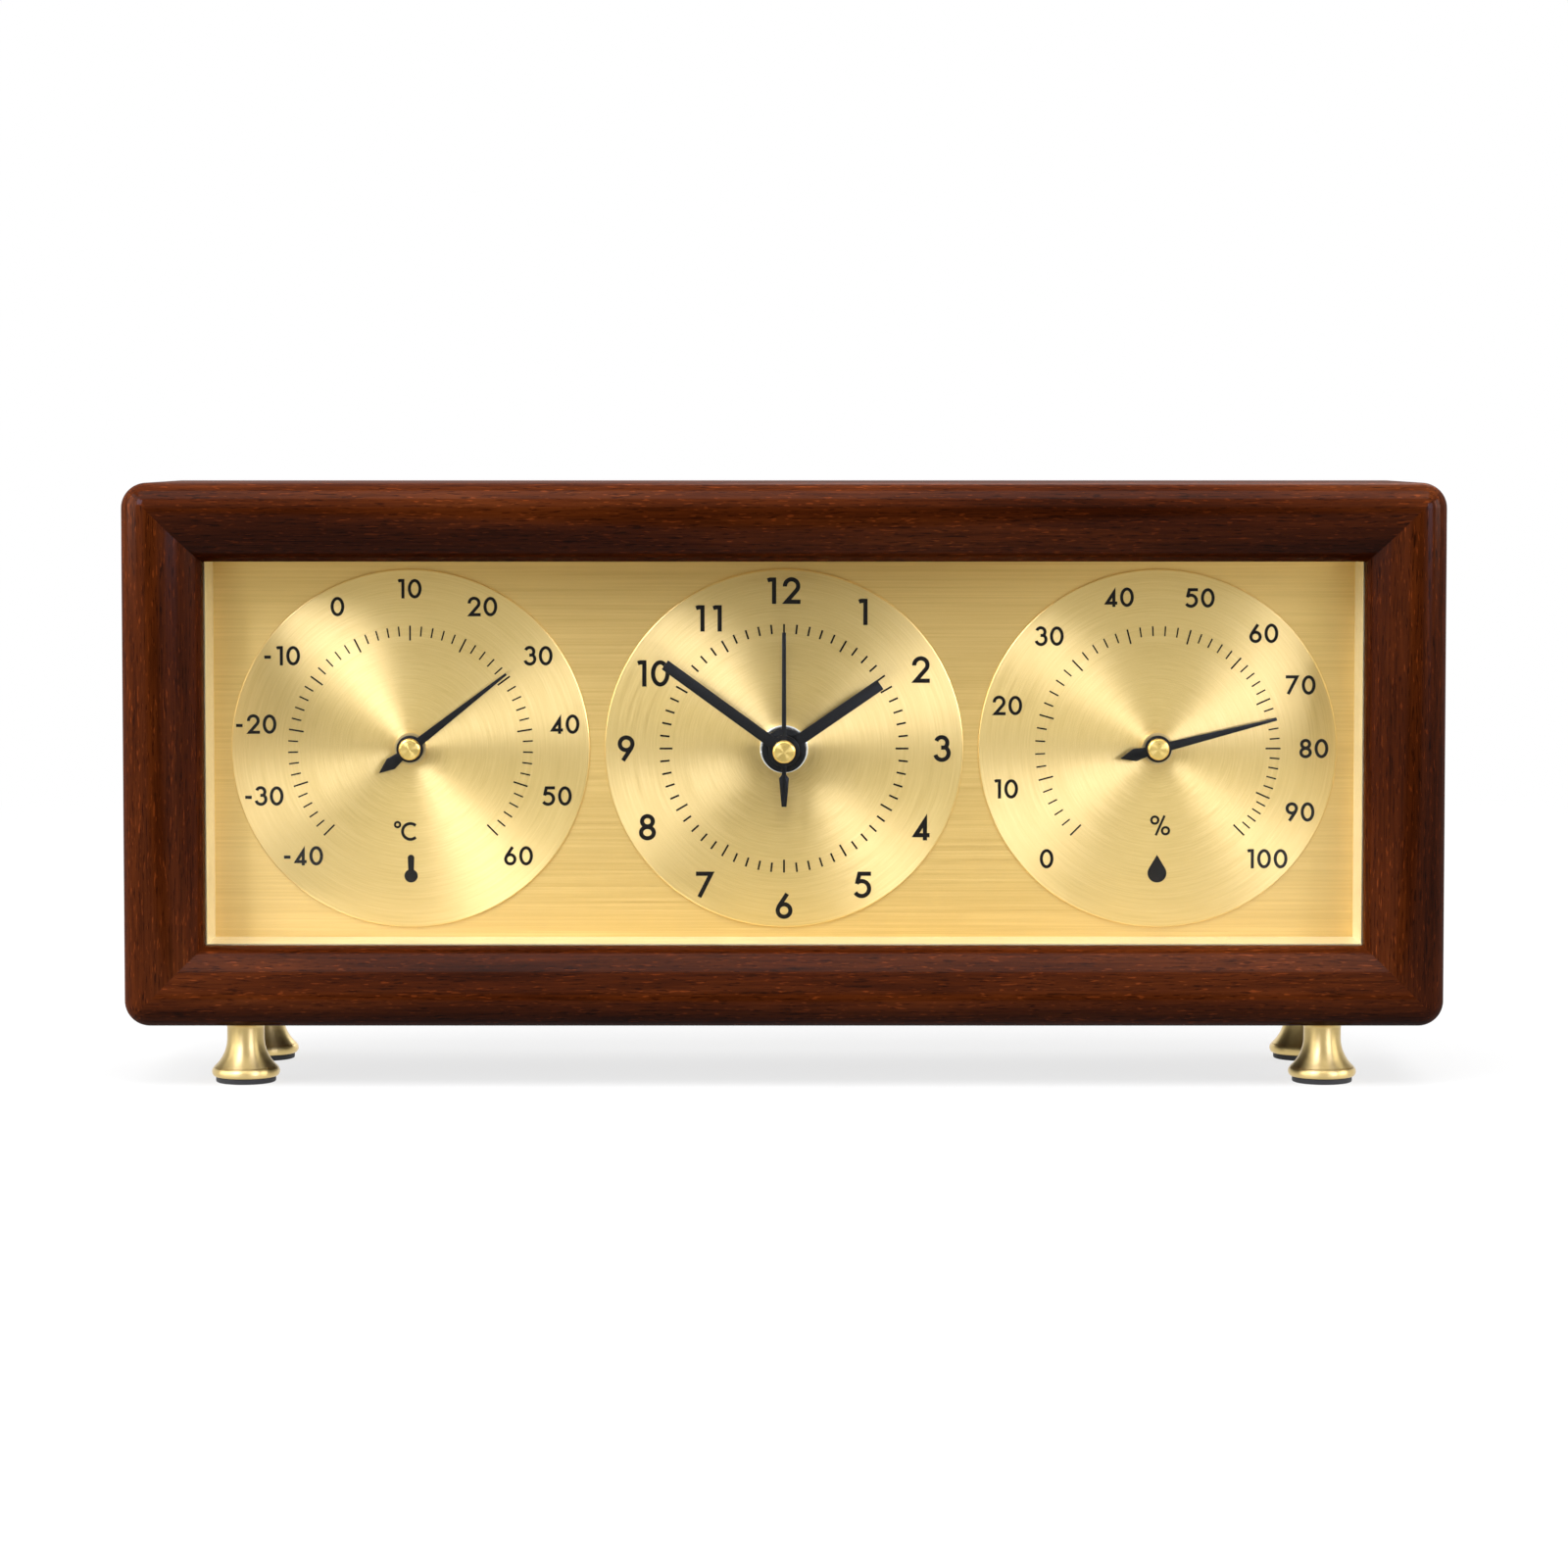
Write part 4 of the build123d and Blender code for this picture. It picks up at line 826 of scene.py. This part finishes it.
make_hand("hour_hand", bar_edge(2.3 * MM, 23.3 * MM), sheet=0.5 * MM, boss=4.4 * MM, bore=2.55 * MM,
          collet=3.5 * MM, degrees=55.5, body="hour_set")
make_hand("minute_hand", bar_edge(2.2 * MM, 29.3 * MM), sheet=0.5 * MM, boss=3.1 * MM, bore=1.7 * MM,
          collet=2.5 * MM, degrees=306, body="minute_set")
second_edge = leaf_edge(tip=0.8 * MM, length=23.7 * MM, root=0.9 * MM, neck=4.6 * MM,
                        tail=2.0 * MM, tail_tip=1.0 * MM, tail_length=11.0 * MM, widest=0.48)
make_hand("second_hand", second_edge, sheet=0.3 * MM, boss=1.5 * MM, bore=0.6 * MM,
          collet=0, degrees=0, body="second_set")
needle_edge = leaf_edge(tip=0.5 * MM, length=24.5 * MM, root=1.9 * MM, neck=2.6 * MM,
                        tail=2.6 * MM, tail_tip=0.1 * MM, tail_length=7.8 * MM, widest=0.62)
for dial, degrees in (("thermometer", 52.1), ("hygrometer", 75.9)):
    make_hand(dial + "_pointer", needle_edge, sheet=0.4 * MM, boss=2.7 * MM, bore=0.7 * MM,
              collet=1.7 * MM, degrees=degrees, body=dial + "_set")

# %% [markdown]
# A small turned brass cap with a soft edge is pressed over each arbor. Its face is brushed in circles
# as well, so it shows the same fan of light on a smaller scale.

# %% Caps
cap_round = 0.45 * MM
cap_bodies = {"clock_cap": "second_set", "thermometer_cap": "thermometer_set",
              "hygrometer_cap": "hygrometer_set"}
for name, material in cap_materials.items():
    low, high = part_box(name)
    radius, height = (high.x - low.x) / 2, high.y - low.y
    cap = turn_on_lathe([(radius, 0)] + round_rim(radius, height, cap_round))
    stand_on_dial(cap, (low.x + high.x) / 2, high.y)
    settle(cap, name + "_turned", material, cap_bodies[name], "cap_brass", name)

# %% [markdown]
# A round plated nut holds the clock works to the plate. It shows behind the boss of the hour hand, with
# the two slots that its spanner fits.

# %% Fixing nut
nut_low, nut_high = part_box("fixing_nut")
nut_radius, nut_height = (nut_high.x - nut_low.x) / 2, nut_high.y - nut_low.y
nut_bore, nut_slot, nut_edge = 3.95 * MM, 1.2 * MM, 0.15 * MM
nut = thicken(flat_ring((0, 0), nut_radius, nut_radius, nut_radius - nut_bore, 96), nut_height)
slot_outline = rectangle(4 * nut_radius, nut_slot)
slots = thicken(flat_shape(slot_outline), nut_height, nut_height / 2)
nut = combine([nut, slots], "DIFFERENCE")
soften(nut, nut_edge)
smooth(nut)
stand_on_dial(nut, 0, nut_high.y)
settle(nut, "plated_nut", nut_plated, "case", "nut_plated", "fixing_nut")

# %% [markdown]
# Four small screws hold the back cover. One is turned with a pan head, gets a cross recess and is then
# copied to all four places.

# %% Back screws
screw_low, screw_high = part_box("back_screws")
screw_length = screw_high.y - screw_low.y
shank_tip, shank_taper, shank_radius = 0.4 * MM, 1.4 * MM, 1.25 * MM
head_radius, head_height, head_dome, head_edge = 1.8 * MM, 1.2 * MM, 0.7 * MM, 0.1 * MM
recess_width, recess_length, recess_depth = 0.5 * MM, 2.2 * MM, 0.7 * MM
head_foot = screw_length - head_height
screw = turn_on_lathe([
    (shank_tip, 0), (shank_radius, shank_taper), (shank_radius, head_foot),
    (head_radius - head_edge, head_foot), (head_radius, head_foot + head_edge),
    *round_rim(head_radius, screw_length, head_dome),
])
for width, length in ((recess_width, recess_length), (recess_length, recess_width)):
    bar = thicken(flat_shape(rectangle(width, length)), 2 * recess_depth, screw_length - recess_depth)
    screw = combine([screw, bar], "DIFFERENCE")
smooth(screw, 35)
screws = []
for x in (screw_low.x + head_radius, screw_high.x - head_radius):
    for z in (screw_low.z + head_radius, screw_high.z - head_radius):
        screws.append(copy_to(screw, (x, screw_low.y, z), turn=(-pi / 2, 0, 0)))
bpy.data.objects.remove(screw)
settle(join(screws, "screws"), "back_screws_turned", zinc_steel, "case", "screw_steel", "back_screws")

# %% [markdown]
# The numerals are plain geometric ones: circles, straight strokes and an even line. Each is described
# by its strokes in shares of its height, drawn once, and copied to where it is used.

# %% Strokes
stroke_share = 0.162
low_line, high_line = stroke_share / 2, 1 - stroke_share / 2


def stroke_outline(points, width):
    """Outline of a line of even width with mitred corners and square ends."""
    points = [Vector(point) for point in points]
    one_side, other_side = [], []
    for index, point in enumerate(points):
        before = (point - points[index - 1]).normalized() if index else None
        after = (points[index + 1] - point).normalized() if index + 1 < len(points) else None
        along = ((before or after) + (after or before)).normalized()
        across = Vector((-along.y, along.x))
        reach = width / 2 / max(0.2, along.dot(before or after))
        one_side.append(point + across * reach)
        other_side.append(point - across * reach)
    return one_side + other_side[::-1]


glyph_shares = {
    "0": [("ring", (0, 0.5), 0.355, 0.5)],
    "1": [("line", [(-0.245, 0.885), (-0.16, high_line), (0, high_line), (0, 0)])],
    "2": [("line", arc((0, 0.68), 0.25, 185, -40) + [(-0.19, low_line), (0.34, low_line)])],
    "3": [("line", arc((-0.01, 0.715), 0.215, 160, -65)), ("line", arc((0, 0.325), 0.255, 68, -165)),
          ("line", [(-0.03, 0.535), (0.1, 0.535)])],
    "4": [("line", [(0.34, 0.198), (-0.191, 0.198), (0.164, 0.745), (0.164, 0.45)]),
          ("line", [(0.164, 0.6), (0.164, 0)])],
    "5": [("line", [(0.313, high_line), (-0.13, high_line), (-0.225, 0.53)]),
          ("line", arc((-0.045, 0.355), 0.285, 133, -147))],
    "6": [("ring", (0, 0.32), 0.32, 0.32), ("line", [(-0.2097, 0.4562), (0.12, 0.96)])],
    "7": [("line", [(-0.353, high_line), (0.226, high_line), (-0.225, 0.03)])],
    "8": [("ring", (0, 0.725), 0.285, 0.275), ("ring", (0, 0.295), 0.322, 0.295)],
    "9": [("ring", (0, 0.68), 0.32, 0.32), ("line", [(0.2097, 0.5438), (-0.12, 0.04)])],
    "-": [("line", [(-0.17, 0.43), (0.17, 0.43)])],
    "C": [("line", arc((0, 0.5), 0.43, 48, 312))],
    "o": [("ring", (0, 0.87), 0.2, 0.2)],
    "%": [("ring", (-0.27, 0.77), 0.235, 0.235), ("ring", (0.27, 0.235), 0.235, 0.235),
          ("line", [(-0.22, 0.0), (0.22, 1.0)])],
}
glyph_widths = {"0": 0.71, "1": 0.32, "2": 0.68, "3": 0.64, "4": 0.68, "5": 0.66, "6": 0.64,
                "7": 0.68, "8": 0.64, "9": 0.64, "-": 0.34, "C": 0.82, "o": 0.4, "%": 1.0}
glyph_gaps = {"0": (0.06, 0.08), "1": (0.21, 0.12), "2": (0.13, 0.08), "o": (0.0, 0.02)}
usual_gaps = (0.07, 0.08)
print("glyphs:", "".join(glyph_shares))

# %% Glyphs
ink = 0.03 * MM
thin_stroke_share = 0.12
stem_shift = 0.09
drawn = {}


def glyph(character):
    """Solid glyph of height and thickness one, drawn on its first use."""
    if character not in drawn:
        pieces = []
        width = thin_stroke_share if character in "%o" else stroke_share
        for kind, *part in glyph_shares[character]:
            if kind == "ring":
                piece = flat_ring(*part, width)
            else:
                piece = flat_shape(stroke_outline(part[0], width))
            pieces.append(thicken(piece, 1))
        drawn[character] = combine(pieces)
    return drawn[character]


def label(text, height, centre):
    """Copies of the glyphs of a text, with its ink centred on a point of the drawing."""
    spans, place = [], 0.0
    for character in text:
        before, after = glyph_gaps.get(character, usual_gaps)
        if spans:
            place += before
        width = glyph_widths[character]
        spans.append((place, place + width))
        place += width + after
    middle = spans[-1][1] / 2
    copies = []
    for character, (start, end) in zip(text, spans):
        shift = (start + end) / 2 - middle + (stem_shift if character == "1" else 0.0)
        place = (centre[0] + shift * height, centre[1] - height / 2, 0)
        copies.append(copy_to(glyph(character), place, scale=(height, height, ink)))
    return copies


def on_circle(radius, degrees):
    """Point at a radius and an angle clockwise from the top."""
    return (radius * sin(radians(degrees)), radius * cos(radians(degrees)))


def tick(size, degrees):
    """Printed bar along a radius, at an angle: size is its inner end, outer end and width."""
    if size not in drawn:
        inner, outer, width = size
        bar = rectangle(width, outer - inner, (inner + outer) / 2)
        drawn[size] = thicken(flat_shape(bar), ink)
    return copy_to(drawn[size], turn=(0, 0, -radians(degrees)))


def print_on_dial(pieces, name, dial):
    """Join the printing of a dial and lay it against the dial's face."""
    obj = join(pieces, name)
    smooth(obj)
    stand_on_dial(obj, dial_middles[dial], dial_y)
    settle(obj, name, print_black, "case", "hand_black")


# %% Clock printing
minute_tick, hour_tick = (23.1 * MM, 25.0 * MM, 0.38 * MM), (22.4 * MM, 25.0 * MM, 0.38 * MM)
hour_height, hour_radius, wide_hour_radius = 5.3 * MM, 31.7 * MM, 30.2 * MM
minutes = [tick(minute_tick if minute % 5 else hour_tick, 6 * minute) for minute in range(60)]
print_on_dial(minutes, "clock_minute_track", "clock")
hours = []
for hour in range(1, 13):
    radius = wide_hour_radius if hour in (10, 11) else hour_radius
    hours += label(str(hour), hour_height, on_circle(radius, 30 * hour))
print_on_dial(hours, "clock_numerals", "clock")

# %% [markdown]
# The thermometer runs evenly from minus 40 to 60 degrees. The hygrometer's coil doesn't turn evenly, so
# its tens stand at their own angles. Short strokes divide the space between two tens in five, and the
# unit stands under each hub.

# %% Instrument printing
long_tick, short_tick = (21.7 * MM, 24.7 * MM, 0.34 * MM), (22.6 * MM, 24.6 * MM, 0.30 * MM)
figure_height = 3.9 * MM
temperature_angles = evenly(-135, 135, 10)
humidity_angles = (-135, -105, -74, -44, -14.5, 15.5, 42.5, 66, 90, 114, 135)


def print_instrument(name, first_figure, angles, radius, lift, unit):
    """Scale and figures of a dial, in tens from the first: lift moves the figures out near the top."""
    strokes, figures = [], []
    for index, angle in enumerate(angles):
        strokes.append(tick(long_tick, angle))
        place = on_circle(radius + lift * cos(radians(angle)), angle)
        figures += label(str(first_figure + 10 * index), figure_height, place)
    for angle, following in zip(angles, angles[1:]):
        strokes += [tick(short_tick, between) for between in evenly(angle, following, 5)[1:-1]]
    print_on_dial(strokes, name + "_scale", name)
    print_on_dial(figures + label(*unit), name + "_numerals", name)


print_instrument("thermometer", -40, temperature_angles, 31.2 * MM, 0.9 * MM,
                 ("oC", 3.7 * MM, (-1.0 * MM, -16.7 * MM)))
print_instrument("hygrometer", 0, humidity_angles, 31.4 * MM, 0.0,
                 ("%", 4.0 * MM, (0.6 * MM, -15.5 * MM)))

# %% [markdown]
# The words under the units are left off. In their place stands a plain sign for what the dial shows: a
# small thermometer and a small drop of water.

# %% Signs
sign_height = 5.6 * MM
sign_place = -24.2 * MM
stem_and_bulb = arc((0, 0.88), 0.12, 180, 0, 16) + arc((0, 0.24), 0.24, 65, -245, 40)
drop = [(0, 1.0)] + arc((0, 0.34), 0.34, 30, -210, 40)
for name, dial, outline in (("thermometer_sign", "thermometer", stem_and_bulb),
                            ("drop_sign", "hygrometer", drop)):
    sign = thicken(flat_shape(outline), 1)
    sign.scale = (sign_height, sign_height, ink)
    sign.location = (0, sign_place - sign_height / 2, 0)
    place_in_mesh(sign)
    print_on_dial([sign], name, dial)
for shape in drawn.values():
    bpy.data.objects.remove(shape)

# %% [markdown]
# The floor is one large pale sheet, which the camera sees almost white. Shiny pieces see it bright
# as well, apart from a dim round patch where the camera stands. That gives the brass its darker parts,
# as a dark camera does in a studio.

# %% Floor
middle = Vector((0, 0, 0.06))
to_camera = Vector((0, -1, -0.08)).normalized()
dim_inner, dim_outer = radians(9), radians(17)
room_glow, floor_glow, camera_glow = 1.25, 1.10, 0.12
near_white, far_white = 0.76, 1.0
near_distance, far_distance = 0.15, 0.75
returned_light = 0.16


def reflected_glow(owner, direction, brightest):
    """Brightness that shiny pieces see in a direction: dim round the camera, white elsewhere."""
    nearness = calculate(owner, "VectorMath", "DOT_PRODUCT", direction, tuple(to_camera))
    return spread(owner, nearness, brightest, camera_glow, cos(dim_outer), cos(dim_inner))


def pale_sheet():
    """Matt pale paper: white to the camera with a soft shadow, and giving little light back upwards."""
    material, shader = new_material("pale_sheet", grey(0.88), roughness=0.9)
    shader.inputs["Specular IOR Level"].default_value = 0.0
    rays = add(material, "LightPath").outputs
    place = add(material, "TexCoord").outputs["Object"]
    offset = calculate(material, "VectorMath", "SUBTRACT", place, tuple(middle), output="Vector")
    direction = calculate(material, "VectorMath", "NORMALIZE", offset, output="Vector")
    far = calculate(material, "VectorMath", "LENGTH", offset)
    whiteness = spread(material, far, near_white, far_white, near_distance, far_distance)
    glow = reflected_glow(material, direction, floor_glow)
    white = add(material, "Emission", [("Strength", 1.0)]).outputs["Emission"]
    mirrored = add(material, "Emission", [("Strength", glow)]).outputs["Emission"]
    dim = add(material, "BsdfDiffuse", [("Color", (*grey(returned_light), 1))]).outputs["BSDF"]
    seen = mixed(material, whiteness, shader.outputs["BSDF"], white)
    shiny = calculate(material, "Math", "MAXIMUM", rays["Is Glossy Ray"], rays["Is Transmission Ray"])
    sheet = mixed(material, shiny, mixed(material, rays["Is Camera Ray"], dim, seen), mirrored)
    link(material.node_tree.nodes["Material Output"], "Surface", sheet)
    return material


bpy.ops.object.select_all(action="DESELECT")
bpy.ops.mesh.primitive_plane_add(size=60, location=(0, 0, 0))
floor = bpy.context.object
floor.name = "floor"
floor.data.materials.append(pale_sheet())

# %% [markdown]
# Soft lamps stand left, right, above and behind. Two cool cards far in front show in reflections alone:
# each draws a pair of bright wedges on the brushed discs, at the angle at which it stands round the dial.

# %% Lamps
def lamp(name, place, size, power, colour=(1, 1, 1), reflections_only=False):
    """Rectangular soft lamp at a place, turned to the clock, with its power in watts."""
    light = bpy.data.lights.new(name, "AREA")
    light.shape = "RECTANGLE"
    light.size, light.size_y = size
    light.energy = power
    light.color = colour
    obj = bpy.data.objects.new(name, light)
    scene.collection.objects.link(obj)
    obj.location = place
    obj.rotation_euler = (middle - Vector(place)).to_track_quat("-Z", "Y").to_euler()
    obj.visible_diffuse = not reflections_only
    print(name, "watts:", power)


daylight = (0.95, 1.0, 1.45)
lamp("left_card", (-1.0, -1.60, 1.10), (0.8, 0.8), 25, daylight, reflections_only=True)
lamp("right_card", (1.24, -1.70, 0.48), (0.8, 0.8), 17, daylight, reflections_only=True)
lamp("left_lamp", (-1.0, -0.40, 0.55), (1.0, 1.0), 15)
lamp("right_lamp", (1.0, -0.30, 0.35), (0.5, 0.5), 6)
lamp("top_lamp", (0.0, -0.40, 0.95), (1.2, 0.7), 10)
lamp("back_lamp", (0.25, 0.90, 0.70), (0.6, 0.6), 4)

# %% [markdown]
# The world fills the shadows, more from behind than from the front, where the lamps already shine. The
# camera sees it white, and shiny pieces see the same bright room with its dim patch as on the floor.

# %% World
front_fill, back_fill = 0.15, 0.60
world = bpy.data.worlds.new("studio")
scene.world = world
world.use_nodes = True
world.node_tree.nodes.clear()
rays = add(world, "LightPath").outputs
direction = add(world, "TexCoord").outputs["Generated"]
depth = add(world, "SeparateXYZ", [("Vector", direction)]).outputs["Y"]
strengths = (spread(world, depth, front_fill, back_fill, -0.8, 0.4),
             reflected_glow(world, direction, room_glow), 1.0)
fill, mirrored, white = [
    add(world, "Background", [("Color", (1, 1, 1, 1)), ("Strength", strength)]).outputs["Background"]
    for strength in strengths
]
unseen = mixed(world, rays["Is Glossy Ray"], fill, mirrored)
add(world, "OutputWorld", [("Surface", mixed(world, rays["Is Camera Ray"], unseen, white))])
print("world's fill, front and back:", front_fill, back_fill)
